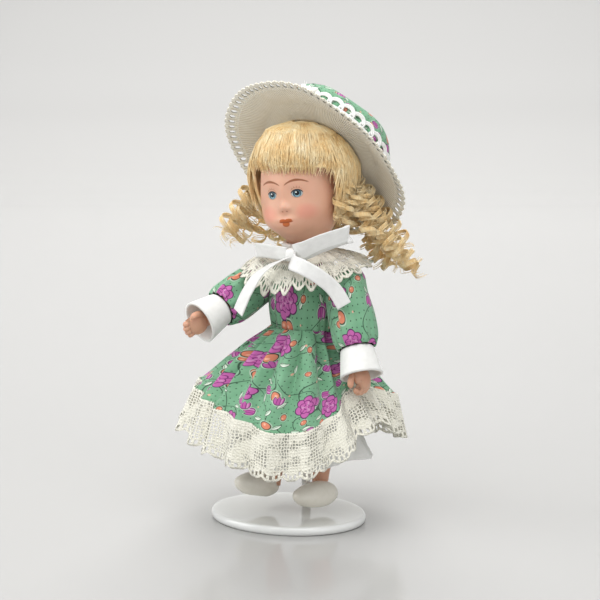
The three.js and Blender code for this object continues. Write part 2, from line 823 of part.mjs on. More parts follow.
stand();
trunk();
head();
wig();
hat();
bodice();
skirt();
collar();
bow();
leg(1, legLeftForward);
leg(-1, legRightForward);
arm(1, armLeftForward, armLeftSplay);
arm(-1, armRightForward, armRightSplay);

export default group;
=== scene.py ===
import math
import random

import bmesh
import bpy
from mathutils import Matrix, Vector


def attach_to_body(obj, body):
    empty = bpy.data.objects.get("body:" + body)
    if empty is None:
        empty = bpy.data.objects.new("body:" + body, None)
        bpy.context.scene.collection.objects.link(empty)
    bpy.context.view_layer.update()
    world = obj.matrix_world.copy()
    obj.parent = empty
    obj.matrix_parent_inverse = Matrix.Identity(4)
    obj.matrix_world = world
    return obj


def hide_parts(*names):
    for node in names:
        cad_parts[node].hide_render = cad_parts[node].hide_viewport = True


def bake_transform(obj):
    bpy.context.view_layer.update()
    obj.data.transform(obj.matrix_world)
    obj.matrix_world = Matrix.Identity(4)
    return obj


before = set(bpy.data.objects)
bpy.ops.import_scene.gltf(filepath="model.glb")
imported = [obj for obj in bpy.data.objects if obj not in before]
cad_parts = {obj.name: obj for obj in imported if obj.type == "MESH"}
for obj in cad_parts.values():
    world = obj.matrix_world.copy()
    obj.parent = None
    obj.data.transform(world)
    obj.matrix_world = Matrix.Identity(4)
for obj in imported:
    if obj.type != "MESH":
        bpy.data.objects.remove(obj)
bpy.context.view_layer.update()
scene = bpy.context.scene
mm = 0.001
turn = 2 * math.pi

# ---- the studio
studio = {
    "azimuth": 37,
    "elevation": 9.8,
    "distance": 0.95,
    "target": (0.0013, 0.0055, 0.082),
    "lens": 154,
    "floor": (0.47, 0.465, 0.455),
    "sky": (0.97, 0.975, 0.98),
    "skyStrength": 0.5,
    # a broad lamp over the front, softer ones from each side and one that lights only the backdrop
    "lamps": (
        ("overhead", (0.15, -0.35, 0.95), 0.9, 7.4),
        ("side", (-0.75, -0.55, 0.45), 0.7, 3.7),
        ("fill", (0.95, -0.35, 0.4), 0.7, 1.8),
        ("backdropLamp", (-0.5, 0.75, 0.95), 0.8, 15.0),
    ),
    "lampAim": (0, 0, 0.07),
    "floorRun": 3.4,
    "floorLevel": 1.9,
}


def makeStudio():
    azimuth = math.radians(studio["azimuth"])
    elevation = math.radians(studio["elevation"])
    flat = math.cos(elevation)
    back = Vector((math.sin(azimuth) * flat, -math.cos(azimuth) * flat, math.sin(elevation)))
    eye = Vector(studio["target"]) + back * studio["distance"]
    data = bpy.data.cameras.new("camera")
    data.lens = studio["lens"]
    data.sensor_width = 36
    cameraObject = bpy.data.objects.new("camera", data)
    cameraObject.location = eye
    cameraObject.rotation_euler = back.to_track_quat("Z", "Y").to_euler()
    scene.collection.objects.link(cameraObject)
    scene.camera = cameraObject
    scene.view_settings.view_transform = "Standard"

    world = bpy.data.worlds.new("studio")
    world.use_nodes = True
    world.node_tree.nodes["Background"].inputs[0].default_value = (*studio["sky"], 1)
    world.node_tree.nodes["Background"].inputs[1].default_value = studio["skyStrength"]
    scene.world = world
    for name, place, size, power in studio["lamps"]:
        lamp = bpy.data.lights.new(name, "AREA")
        lamp.size = size
        lamp.energy = power
        lampObject = bpy.data.objects.new(name, lamp)
        lampObject.location = place
        lampObject.visible_glossy = name != "backdropLamp"
        aim = Vector(place) - Vector(studio["lampAim"])
        lampObject.rotation_euler = aim.to_track_quat("Z", "Y").to_euler()
        scene.collection.objects.link(lampObject)

    bm = bmesh.new()
    bmesh.ops.create_grid(bm, x_segments=1, y_segments=60, size=1)
    for vertex in bm.verts:
        run = studio["floorRun"] * (vertex.co.y + 1) / 2
        rise = max(0, run - studio["floorLevel"])
        sweep = min(1, rise / 0.9)
        vertex.co = (vertex.co.x * 3, -1 + run - rise * sweep * 0.6, rise * sweep * 1.2)
    aim = Matrix.Rotation(azimuth, 4, "Z")
    bmesh.ops.transform(bm, matrix=aim, verts=bm.verts)
    mesh = bpy.data.meshes.new("floor")
    bm.to_mesh(mesh)
    bm.free()
    floor = bpy.data.objects.new("floor", mesh)
    for face in mesh.polygons:
        face.use_smooth = True
    material = bpy.data.materials.new("floor")
    material.use_nodes = True
    shader = material.node_tree.nodes["Principled BSDF"]
    shader.inputs["Base Color"].default_value = (*studio["floor"], 1)
    shader.inputs["Roughness"].default_value = 0.12
    shader.inputs["Specular IOR Level"].default_value = 0.4
    floor.data.materials.append(material)
    scene.collection.objects.link(floor)
    print("studio ready")


makeStudio()


# ---- shader maths
class Wire:
    # a socket that takes part in Python expressions
    def __init__(self, tree, node, out=0):
        self.tree = tree
        self.owner = node
        self.socket = node.outputs[out]

    def out(self, name):
        return Wire(self.tree, self.owner, name)

    def make(self, kind, settings=None, sockets=None, out=0):
        return makeNode(self.tree, kind, settings, sockets, out)

    def maths(self, operation, *values):
        return self.make("ShaderNodeMath", {"operation": operation}, dict(enumerate(values)))

    def __add__(self, other):
        return self.maths("ADD", self, other)

    def __sub__(self, other):
        return self.maths("SUBTRACT", self, other)

    def __rsub__(self, other):
        return self.maths("SUBTRACT", other, self)

    def __mul__(self, other):
        return self.maths("MULTIPLY", self, other)

    def __truediv__(self, other):
        return self.maths("DIVIDE", self, other)

    __radd__ = __add__
    __rmul__ = __mul__

    def sin(self):
        return self.maths("SINE", self)

    def cos(self):
        return self.maths("COSINE", self)

    def abs(self):
        return self.maths("ABSOLUTE", self)

    def power(self, value):
        return self.maths("POWER", self, value)

    def most(self, other):
        return self.maths("MAXIMUM", self, other)

    def below(self, limit, soft):
        # 1 under the limit, 0 over it, with a soft edge
        return self.make(
            "ShaderNodeMapRange",
            {"interpolation_type": "SMOOTHSTEP"},
            {0: self, 1: limit - soft, 2: limit + soft, 3: 1.0, 4: 0.0},
        )

    def above(self, limit, soft):
        return 1 - self.below(limit, soft)


def feed(tree, socket, value):
    if isinstance(value, Wire):
        tree.links.new(value.socket, socket)
    elif socket.type == "RGBA":
        socket.default_value = (*value, 1)
    else:
        socket.default_value = value


def makeNode(tree, kind, settings=None, sockets=None, out=0):
    node = tree.nodes.new(kind)
    for key, value in (settings or {}).items():
        if key == "stops":
            ramp = node.color_ramp
            while len(ramp.elements) < len(value):
                ramp.elements.new(0.5)
            for element, (position, colour) in zip(ramp.elements, value):
                element.position = position
                element.color = (*colour, 1)
        else:
            setattr(node, key, value)
    for key, value in (sockets or {}).items():
        feed(tree, node.inputs[key], value)
    return Wire(tree, node, out)


class Paint:
    # one material, with its coordinates and its principled shader
    words = {
        "color": "Base Color", "roughness": "Roughness", "metallic": "Metallic", "alpha": "Alpha",
        "coat": "Coat Weight", "coatRoughness": "Coat Roughness", "sheen": "Sheen Weight",
        "specular": "Specular IOR Level", "anisotropic": "Anisotropic",
        "skin": "Subsurface Weight", "skinScale": "Subsurface Scale",
    }

    def __init__(self, name, **sockets):
        self.material = bpy.data.materials.new(name)
        self.material.use_nodes = True
        self.tree = self.material.node_tree
        self.shader = self.tree.nodes["Principled BSDF"]
        self.set(**sockets)

    def set(self, **sockets):
        for key, value in sockets.items():
            feed(self.tree, self.shader.inputs[self.words[key]], value)

    def make(self, kind, settings=None, sockets=None, out=0):
        return makeNode(self.tree, kind, settings, sockets, out)

    def place(self, kind="UV"):
        return self.make("ShaderNodeTexCoord", out=kind)

    def split(self, vector):
        parts = self.make("ShaderNodeSeparateXYZ", sockets={0: vector})
        return parts, parts.out(1), parts.out(2)

    def join(self, x, y, z=0.0):
        return self.make("ShaderNodeCombineXYZ", sockets={0: x, 1: y, 2: z})

    def scaled(self, vector, size, move=(0, 0, 0), turned=(0, 0, 0)):
        sizes = (size, size, size) if isinstance(size, (int, float)) else size
        return self.make("ShaderNodeMapping", sockets={0: vector, 1: move, 2: turned, 3: sizes})

    def mix(self, mask, a, b):
        sockets = {0: mask, 6: a, 7: b}
        return self.make("ShaderNodeMix", {"data_type": "RGBA"}, sockets, 2)

    def noise(self, vector, scale, detail=2.0, rough=0.5, out=0):
        sockets = {"Vector": vector, "Scale": scale, "Detail": detail, "Roughness": rough}
        return self.make("ShaderNodeTexNoise", sockets=sockets, out=out)

    def cells(self, vector, scale, randomness, **settings):
        sockets = {"Vector": vector, "Scale": scale, "Randomness": randomness}
        return self.make("ShaderNodeTexVoronoi", {"voronoi_dimensions": "2D", **settings}, sockets)

    def vectorMaths(self, operation, *values):
        return self.make("ShaderNodeVectorMath", {"operation": operation}, dict(enumerate(values)))

    def ramp(self, value, stops):
        return self.make("ShaderNodeValToRGB", {"stops": stops}, {0: value})

    def bump(self, height, strength, distance):
        sockets = {"Strength": strength, "Distance": distance, "Height": height}
        normal = self.make("ShaderNodeBump", sockets=sockets)
        self.tree.links.new(normal.socket, self.shader.inputs["Normal"])


# ---- finishes
def weave(paint, uv, pitch):
    # over and under threads, in millimetres on the cloth
    x, y, _ = paint.split(paint.scaled(uv, turn / pitch))
    return x.sin() * 0.5 + y.sin() * 0.5 + (x * 0.5).sin() * (y * 0.5).sin() * 0.4


def cottonPaint():
    paint = Paint("white cotton", roughness=0.85, sheen=0.25, specular=0.25)
    uv = paint.place()
    cloud = paint.noise(uv, 0.35, 3.0)
    paint.set(color=paint.ramp(cloud, [(0.3, (0.82, 0.82, 0.79)), (0.7, (0.9, 0.9, 0.875))]))
    paint.bump(weave(paint, uv, 0.34) + paint.noise(uv, 0.9, 3.0) * 3, 0.35, 0.00006)
    return paint.material


def satinPaint():
    paint = Paint("white satin ribbon", roughness=0.36, sheen=0.4, specular=0.5, anisotropic=0.5)
    uv = paint.place()
    along, across, _ = paint.split(uv)
    edge = (across.abs()).above(2.75, 0.06) * (across.abs()).below(3.0, 0.06)
    cloud = paint.noise(uv, 0.5, 2.0)
    ground = paint.ramp(cloud, [(0.3, (0.82, 0.82, 0.80)), (0.7, (0.89, 0.89, 0.87))])
    paint.set(color=paint.mix(edge * 0.5, ground, (0.72, 0.71, 0.67)))
    ribs = (along * (turn / 0.3)).sin() * 0.5
    paint.bump(ribs - edge * 1.5 + cloud * 2, 0.4, 0.00007)
    return paint.material


def motif(paint, uv, pitch, move):
    # a scattered print: the place inside the nearest motif, turned by its own angle, in millimetres
    shifted = paint.scaled(uv, 1, (move, move * 0.7, 0))
    cells = paint.cells(shifted, 1 / pitch, 0.55)
    x, y, _ = paint.split(paint.vectorMaths("SUBTRACT", shifted, cells.out("Position")))
    chance, other, _ = paint.split(cells.out("Color"))
    angle = chance * turn
    return x * angle.cos() + y * angle.sin(), y * angle.cos() - x * angle.sin(), other


def printPaint(name, scaleUp=1.0):
    paint = Paint(name, roughness=0.8, sheen=0.2, specular=0.25)
    uv = paint.scaled(paint.place(), 1 / scaleUp)
    cloud = paint.noise(uv, 0.22, 3.0)
    colour = paint.ramp(cloud, [(0.3, (0.155, 0.36, 0.21)), (0.7, (0.21, 0.43, 0.265))])
    dark = (0.025, 0.06, 0.035)
    # pin dots
    dots = paint.cells(uv, 0.52, 0.3)
    colour = paint.mix(dots.below(0.115, 0.03) * 0.85, colour, dark)
    # thin vines
    for scale, move in ((0.075, 3.0), (0.06, 47.0)):
        field = paint.noise(paint.scaled(uv, 1, (move, move, 0)), scale, 0.0)
        colour = paint.mix((field - 0.5).abs().below(0.006, 0.0025) * 0.9, colour, dark)
    # white leaves with a dark rim and a little green left inside
    for pitch, move in ((7.4, 11.0), (9.1, 31.0)):
        x, y, chance = motif(paint, uv, pitch, move)
        lens = x.abs() / 0.62 + (y / 1.7).power(2) + chance.below(0.4, 0.01) * 9
        colour = paint.mix(lens.below(1.22, 0.06), colour, dark)
        colour = paint.mix(lens.below(0.9, 0.06), colour, (0.72, 0.78, 0.68))
        green = (x + 0.2).abs().below(0.14, 0.06) * lens.below(0.7, 0.05)
        colour = paint.mix(green, colour, (0.2, 0.43, 0.26))
    # coral berries and buds
    for pitch, move, size in ((8.8, 5.0, 0.85), (11.5, 71.0, 1.3)):
        x, y, chance = motif(paint, uv, pitch, move)
        round_ = (x.power(2) + (y * 0.75).power(2)).power(0.5) + chance.below(0.45, 0.01) * 9
        colour = paint.mix(round_.below(size * 1.38, 0.1) * 0.7, colour, (0.55, 0.66, 0.54))
        colour = paint.mix(round_.below(size * 1.17, 0.08), colour, dark)
        colour = paint.mix(round_.below(size * 0.95, 0.08), colour, (0.66, 0.22, 0.13))
        shine = ((x - 0.35).power(2) + (y - 0.35).power(2)).power(0.5)
        colour = paint.mix(shine.below(size * 0.35, 0.12), colour, (0.8, 0.42, 0.3))
    # tulips: three pointed petals
    for pitch, move in ((9.4, 17.0), (12.0, 83.0)):
        x, y, chance = motif(paint, uv, pitch, move)
        x = x * 1.2
        y = y * 1.15
        crown = (x * (turn / 1.5)).cos() * 0.45 + 1.3
        cup = (x.abs() / 1.75).power(2.4) + ((y + 0.2).below(0.0, 0.01) * (y.abs() / 1.9).power(2.2))
        inside = cup + (y / crown).most(0.0).power(3.0) + chance.below(0.4, 0.01) * 9
        colour = paint.mix(inside.below(1.7, 0.12) * 0.75, colour, (0.55, 0.66, 0.54))
        colour = paint.mix(inside.below(1.25, 0.12), colour, (0.1, 0.02, 0.1))
        colour = paint.mix(inside.below(0.85, 0.1), colour, (0.48, 0.10, 0.35))
        fold = (x.abs() - 0.55).abs().below(0.12, 0.05) * inside.below(0.8, 0.1)
        colour = paint.mix(fold, colour, (0.2, 0.03, 0.17))
        light = (x - 1.0).abs().below(0.25, 0.15) * inside.below(0.8, 0.1)
        colour = paint.mix(light * 0.6, colour, (0.72, 0.4, 0.62))
    # peonies: rings of rounded petals with dark outlines
    x, y, chance = motif(paint, uv, 16.5, 53.0)
    far = (x.power(2) + (y * 0.85).power(2)).power(0.5) + chance.below(0.18, 0.01) * 9
    angle = x.maths("ARCTAN2", y, x)
    lobes = (angle * 3.0).cos().abs()
    rim = 2.9 + lobes * 0.9
    inner = 1.7 + (angle * 2.5 + 0.8).cos().abs() * 0.6
    colour = paint.mix((far - rim).below(0.18, 0.06), colour, (0.09, 0.02, 0.09))
    colour = paint.mix((far - rim).below(-0.16, 0.06), colour, (0.50, 0.12, 0.37))
    gaps = (lobes.below(0.16, 0.08)).most((far - inner).abs().below(0.14, 0.06))
    gaps = gaps.most((far - 0.8).abs().below(0.12, 0.05) * ((angle * 2.0).cos().abs().above(0.3, 0.1)))
    colour = paint.mix(gaps * (far - rim).below(-0.2, 0.05), colour, (0.16, 0.02, 0.14))
    glow = (far - inner).below(-0.3, 0.3) * (angle * 3.0 + 1.0).cos().above(0.55, 0.2)
    colour = paint.mix(glow * 0.55, colour, (0.68, 0.36, 0.58))
    paint.set(color=colour)
    threads = weave(paint, paint.place(), 0.3)
    paint.bump(threads + paint.noise(paint.place(), 1.1, 3.0) * 2.5, 0.35, 0.00006)
    return paint.material


def lacePaint(name, cell, solidness, edgeAt=None, ladder=None):
    # netted lace: a web of threads with denser worked patches; UV is along and down the strip
    paint = Paint(name, roughness=0.85, sheen=0.3, specular=0.2)
    uv = paint.place()
    along, down, _ = paint.split(uv)
    wobble = paint.noise(uv, 0.9, 1.0, out=1)
    bent = paint.vectorMaths("MULTIPLY_ADD", wobble, (0.5, 0.5, 0), uv)
    net = paint.cells(bent, 1 / cell, 0.45, feature="DISTANCE_TO_EDGE")
    thread = net.below(0.19, 0.06)
    patch = paint.noise(uv, 0.16, 2.0)
    worked = patch.below(solidness, 0.04)
    solid = thread.most(worked)
    if edgeAt:
        scallop = edgeAt - 1.9 + (along * (math.pi / 7.0)).sin().abs() * 1.9
        cord = (down - scallop).abs().below(0.55, 0.1)
        ray = ((along * (turn / 1.75)).sin()).above(0.1, 0.3) * (down - scallop).above(-2.6, 0.1)
        solid = solid * (down - scallop).below(-2.4, 0.1)
        band = (down - scallop + 2.4).abs().below(0.35, 0.1)
        solid = solid.most(ray).most(cord).most(band) * (down - scallop).below(0.55, 0.05)
    if ladder:
        bars = ((along * (turn / 1.5)).sin()).above(0.0, 0.25)
        rows = (down - ladder).abs()
        open_ = rows.below(1.0, 0.1)
        solid = solid * (1 - open_) + open_ * bars
        solid = solid.most((rows - 1.2).abs().below(0.3, 0.1))
    cloud = paint.noise(uv, 1.4, 3.0)
    paint.set(color=paint.ramp(cloud, [(0.3, (0.80, 0.78, 0.66)), (0.7, (0.92, 0.90, 0.80))]))
    paint.set(alpha=solid)
    paint.bump(net.below(0.22, 0.2) + cloud * 0.7, 0.8, 0.00025)
    return paint.material


def bisquePaint(name, blush):
    paint = Paint(name, roughness=0.42, specular=0.4, skin=0.12, skinScale=0.004)
    place = paint.place("Object")
    cloud = paint.noise(place, 140, 3.0)
    fine = paint.noise(place, 900, 2.0)
    ground = paint.ramp(cloud, [(0.3, (0.62, 0.33, 0.215)), (0.7, (0.69, 0.385, 0.26))])
    paint.set(color=paint.mix(fine.above(0.66, 0.05) * 0.25, ground, blush))
    paint.bump(fine, 0.15, 0.00004)
    return paint.material


def hairPaint():
    paint = Paint("blond hair", roughness=0.3, specular=0.6, sheen=0.1, anisotropic=0.4)
    place = paint.place("Object")
    broad = paint.noise(place, 170, 2.0)
    fine = paint.noise(paint.scaled(place, (1, 1, 0.12)), 1500, 2.0)
    tone = broad * 0.6 + fine * 0.4
    stops = [
        (0.24, (0.62, 0.34, 0.10)), (0.41, (0.86, 0.61, 0.28)),
        (0.57, (0.95, 0.78, 0.47)), (0.74, (1.0, 0.91, 0.70)),
    ]
    paint.set(color=paint.ramp(tone, stops))
    return paint.material


def glossPaint():
    paint = Paint("glossy white plastic", roughness=0.07, specular=0.6, coat=0.5, coatRoughness=0.04)
    place = paint.place("Object")
    cloud = paint.noise(place, 60, 3.0)
    paint.set(color=paint.ramp(cloud, [(0.3, (0.84, 0.85, 0.83)), (0.7, (0.88, 0.89, 0.87))]))
    scuff = paint.noise(paint.scaled(place, (1, 8, 1)), 300, 4.0)
    paint.set(roughness=scuff.above(0.62, 0.1) * 0.1 + 0.06)
    return paint.material


def plainPaint(name, dark, light, roughness, metallic=0.0):
    paint = Paint(name, metallic=metallic)
    place = paint.place("Object")
    cloud = paint.noise(place, 400, 4.0)
    paint.set(color=paint.ramp(cloud, [(0.3, dark), (0.7, light)]), roughness=cloud * 0.15 + roughness)
    paint.bump(cloud, 0.2, 0.00005)
    return paint.material


cotton = cottonPaint()
satin = satinPaint()
printed = printPaint("flower print")
bisque = bisquePaint("tinted bisque", (0.70, 0.40, 0.27))
hair = hairPaint()
gloss = glossPaint()
steel = plainPaint("steel wire", (0.35, 0.35, 0.35), (0.5, 0.5, 0.5), 0.3, 1.0)
rubber = plainPaint("covered elastic", (0.7, 0.68, 0.62), (0.8, 0.78, 0.72), 0.8)
hemLace = lacePaint("hem lace", 1.15, 0.51, edgeAt=18.2)
print("finishes ready")


# ---- making pieces
def through(picks, t):
    # a smooth curve from the second of four values to the third
    a, b, c, d = picks
    return b + 0.5 * t * (c - a + t * (2 * a - 5 * b + 4 * c - d + t * (3 * (b - c) + d - a)))


def around(values, angle):
    # a closed curve through evenly spaced values
    at = (angle / turn * len(values)) % len(values)
    i = math.floor(at)
    return through([values[(i + k) % len(values)] for k in (-1, 0, 1, 2)], at - i)


def ease(values, t):
    # an open curve through evenly spaced values
    at = t * (len(values) - 1)
    i = min(len(values) - 2, int(at))
    return through([values[min(len(values) - 1, max(0, i + j))] for j in (-1, 0, 1, 2)], at - i)


def mix(a, b, t):
    return a + (b - a) * t


def smooth(t):
    t = min(1, max(0, t))
    return t * t * (3 - 2 * t)


def bell(*parts):
    return math.exp(-sum(part * part for part in parts))


def ringPoint(angle, radius, middle, height):
    return Vector((radius * math.sin(angle), middle - radius * math.cos(angle), height))


def attach(piece, body, nodes, slot):
    scene.collection.objects.link(piece)
    if body:
        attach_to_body(piece, body)
    if nodes:
        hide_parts(*nodes)
    return piece


def finishPiece(name, bm, material, body, nodes=(), slot=None):
    bmesh.ops.scale(bm, vec=(mm, mm, mm), verts=bm.verts)
    mesh = bpy.data.meshes.new(name)
    bm.to_mesh(mesh)
    bm.free()
    for face in mesh.polygons:
        face.use_smooth = True
    piece = bpy.data.objects.new(name, mesh)
    mesh.materials.append(material)
    return attach(piece, body, nodes, slot)


def cloth(name, columns, rows, place, material, thickness, closed=True, size=(1, 1), levels=0, **ways):
    # a grid laid through place(u, v), in millimetres, with its UV map at the cloth's flat size
    bm = bmesh.new()
    bmesh.ops.create_grid(bm, x_segments=columns, y_segments=rows, size=0.5)
    layer = bm.loops.layers.uv.new("UVMap")
    for face in bm.faces:
        for loop in face.loops:
            x, y, _ = loop.vert.co
            loop[layer].uv = ((x + 0.5) * size[0], (0.5 - y) * size[1])
    for vertex in bm.verts:
        vertex.co = place(vertex.co.x + 0.5, 0.5 - vertex.co.y)
    if closed:
        bmesh.ops.remove_doubles(bm, verts=bm.verts, dist=0.01)
    bmesh.ops.recalc_face_normals(bm, faces=bm.faces)
    piece = finishPiece(name, bm, material, **ways)
    solid = piece.modifiers.new("thickness", "SOLIDIFY")
    solid.thickness = thickness * mm
    solid.offset = 0
    if levels:
        soft = piece.modifiers.new("softness", "SUBSURF")
        soft.levels = levels
        soft.render_levels = levels
    return piece


def addTube(bm, points, radius, sides=6, taper=None):
    # a tube through the points, made by extruding a ring of vertices from point to point
    ring = None
    count = len(points)
    normal = None
    for k, point in enumerate(points):
        point = Vector(point)
        ahead = (Vector(points[min(k + 1, count - 1)]) - Vector(points[max(k - 1, 0)])).normalized()
        if normal is None:
            normal = ahead.orthogonal().normalized()
        normal = (normal - ahead * normal.dot(ahead)).normalized()
        side = ahead.cross(normal)
        size = radius * (taper(k / (count - 1)) if taper else 1)
        angles = [turn * i / sides for i in range(sides)]
        spots = [point + (normal * math.cos(a) + side * math.sin(a)) * size for a in angles]
        if ring is None:
            ring = [bm.verts.new(spot) for spot in spots]
            edges = [bm.edges.new((ring[i], ring[(i + 1) % sides])) for i in range(sides)]
            bm.faces.new(list(reversed(ring)))
        else:
            made = bmesh.ops.extrude_edge_only(bm, edges=edges)["geom"]
            fresh = [item for item in made if isinstance(item, bmesh.types.BMVert)]
            edges = [item for item in made if isinstance(item, bmesh.types.BMEdge)]
            edges = [edge for edge in edges if len(edge.link_faces) == 1]
            for vertex, spot in zip(fresh, spots):
                vertex.co = spot
            ring = fresh
    bm.faces.new(ring)


# ---- the stand
stand = {"width": 61, "depth": 52, "thickness": 3.2, "round": 1.3, "dish": 0.05}


def makeStand():
    bm = bmesh.new()
    half = stand["width"] / 2
    middle = stand["thickness"] / 2
    top = stand["thickness"] - stand["dish"]
    profile = [(0, 0), (half - 0.9, 0)]
    for k in range(9):
        angle = math.pi * k / 8 - math.pi / 2
        profile.append((half - stand["round"] * (1 - math.cos(angle)), middle + middle * math.sin(angle)))
    profile += [(half - 3, top), (0, top)]
    verts = [bm.verts.new((x, 0, z)) for x, z in profile]
    edges = [bm.edges.new((a, b)) for a, b in zip(verts, verts[1:])]
    upright = {"axis": (0, 0, 1), "cent": (0, 0, 0)}
    bmesh.ops.spin(bm, geom=verts + edges, angle=turn, steps=96, use_merge=True, **upright)
    bmesh.ops.remove_doubles(bm, verts=bm.verts, dist=0.01)
    bmesh.ops.scale(bm, vec=(1, stand["depth"] / stand["width"], 1), verts=bm.verts)
    bmesh.ops.recalc_face_normals(bm, faces=bm.faces)
    finishPiece("standBase", bm, gloss, "stand", ["stand_base"], "plastic")


makeStand()
for node, material in (
    ("stand_post", gloss), ("stand_saddle", gloss), ("torso", bisque), ("arm_elastic", rubber),
    ("leg_elastic", rubber), ("neck_hook", steel),
):
    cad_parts[node].data.materials.clear()
    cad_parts[node].data.materials.append(material)
print("stand ready")

# ---- the doll's shape, in millimetres
doll = {
    "y": 11, "waist": 72, "waistRadius": 10.4, "hip": 50, "hipSpacing": 17, "legLength": 45.6,
    "shoulder": 87.5, "shoulderSpacing": 37, "flat": 0.82,
    "legForward": {"left": 4, "right": 14}, "armForward": {"left": 16, "right": 66},
    "armSplay": {"left": 23, "right": 14},
}
sides = {"left": 1, "right": -1}


def legFrame(word):
    place = Vector((sides[word] * doll["hipSpacing"] / 2, doll["y"], doll["hip"]))
    return Matrix.Translation(place) @ Matrix.Rotation(math.radians(-doll["legForward"][word]), 4, "X")


def armFrame(word):
    place = Vector((sides[word] * doll["shoulderSpacing"] / 2, doll["y"], doll["shoulder"]))
    forward = Matrix.Rotation(math.radians(-doll["armForward"][word]), 4, "X")
    splay = Matrix.Rotation(math.radians(-sides[word] * doll["armSplay"][word]), 4, "Y")
    return Matrix.Translation(place) @ forward @ splay


# ---- the dress
skirt = {
    "radius": [37, 37, 30.5, 25, 33.5, 37, 35, 34, 35, 36, 37, 37],
    "height": [43, 38.5, 43, 53, 47, 43, 42, 43, 45, 48, 50, 47],
    "flare": [4, 4, 7, 11, 4, 4, 4, 5, 6, 7, 7, 5],
    "hang": [0.85, 0.9, 1.3, 2, 1.7, 0.9, 0.85, 0.85, 1, 1.2, 1.1, 0.9],
    "middle": 6,
    "top": 13.2,
    "lace": 18.4,
}


def foldsAt(angle, t):
    deep = mix(0.6, 2.7, smooth(t / 0.35)) * (1 - 0.45 * smooth((t - 0.55) / 0.45))
    fine = math.sin(31 * angle + 1.7 * math.sin(4 * angle)) * 0.35 * (1 - 0.7 * t)
    broad = math.sin(19 * angle + 1.6 * math.sin(3 * angle + 1))
    return deep * (fine + broad * (0.55 + 0.4 * abs(broad)))


def skirtAt(angle, t):
    seam = around(skirt["radius"], angle)
    flare = t ** around(skirt["hang"], angle)
    height = mix(doll["waist"] - 0.2, around(skirt["height"], angle), t)
    radius = mix(skirt["top"] - 1.1, seam, flare) + foldsAt(angle, t)
    return ringPoint(angle, radius, mix(doll["y"], skirt["middle"], t), height)


def laceAt(angle, t):
    out = around(skirt["flare"], angle)
    seam = around(skirt["radius"], angle)
    wave = t * (1.3 * math.sin(19 * angle + 1.6 * math.sin(3 * angle + 1)) + 0.4 * math.sin(37 * angle))
    radius = seam + foldsAt(angle, 1) * (1 - 0.5 * t) + 0.35 + out * t + wave
    fall = skirt["lace"] * t - out * t / 3 - 0.8
    return ringPoint(angle, radius, skirt["middle"], around(skirt["height"], angle) - fall)


def petticoatAt(angle, t):
    seam = min(28, around(skirt["radius"], angle) - 4)
    flare = t ** (around(skirt["hang"], angle) + 0.1)
    middle = mix(doll["y"], skirt["middle"], min(1, t * 1.4))
    inner = doll["waistRadius"] + 2.1
    overHips = mix(inner, 16.6, min(1, 4 * t))
    fold = t * (math.sin(10 * angle) * 0.7 + math.sin(23 * angle + 1) * 0.4)
    radius = max(mix(inner, seam, flare), overHips) + fold
    return ringPoint(angle, radius - 0.4, middle, mix(doll["waist"] - 5, 23, t))


def makeSkirt():
    # the cloth is a cone when it is laid out, so its print runs undistorted round it
    slope = 0.6

    def place(u, v):
        return skirtAt(u * turn, v)

    piece = cloth(
        "skirtCloth", 448, 30, place, printed, 0.5,
        body="doll", nodes=["skirt"], slot="print", levels=1,
    )
    mesh = piece.data
    layer = mesh.uv_layers[0]
    for loop in mesh.loops:
        u, v = layer.uv[loop.index].vector
        reach = mix(skirt["top"], 37, v) / slope
        spread = u * turn * slope
        layer.uv[loop.index].vector = (reach * math.sin(spread), -reach * math.cos(spread))

    length = 262
    hem = cloth(
        "hemLace", 560, 16, lambda u, v: laceAt(u * turn, v), hemLace, 0.35,
        size=(length, skirt["lace"]), body="doll", nodes=["skirt_lace"], slot="lace",
    )

    under = cloth(
        "petticoatCloth", 240, 20, lambda u, v: petticoatAt(u * turn, v), cotton, 0.4,
        size=(140, 46), body="doll", nodes=["petticoat"], slot="cotton", levels=1,
    )


def makeBodice():
    radii = [13.2, 14.1, 13.6, 11.3, 8.2, 7.6]
    heights = [71.3, 79, 85.7, 91.4, 93.4, 95.6]

    def place(u, v):
        angle = u * turn
        t = 1 - v
        pucker = 0.45 * math.sin(26 * angle + 2 * math.sin(5 * angle)) * max(0, 1 - t * 2.6)
        front = 0.7 * bell((t - 0.25) / 0.2) * max(0, math.cos(angle))
        radius = ease(radii, t) + pucker + front
        y = doll["y"] - radius * math.cos(angle) * doll["flat"]
        return Vector((radius * math.sin(angle), y, ease(heights, t)))

    piece = cloth(
        "bodiceCloth", 180, 22, place, printed, 0.5,
        size=(84, 25), body="doll", nodes=["bodice"], slot="print", levels=1,
    )


sleeve = {
    "radii": [6.7, 8.0, 8.3, 8.1, 7.7, 7.4, 7.0, 5.6, 3.2],
    "heights": [-23.2, -20, -14, -8, -3, 0.5, 3.4, 5.9, 7.1],
}


def fingerEnd(t):
    # a finger's thickness along it, rounded off at the tip
    return 1 if t < 0.72 else math.sqrt(max(0.02, 1 - ((t - 0.72) / 0.29) ** 2))


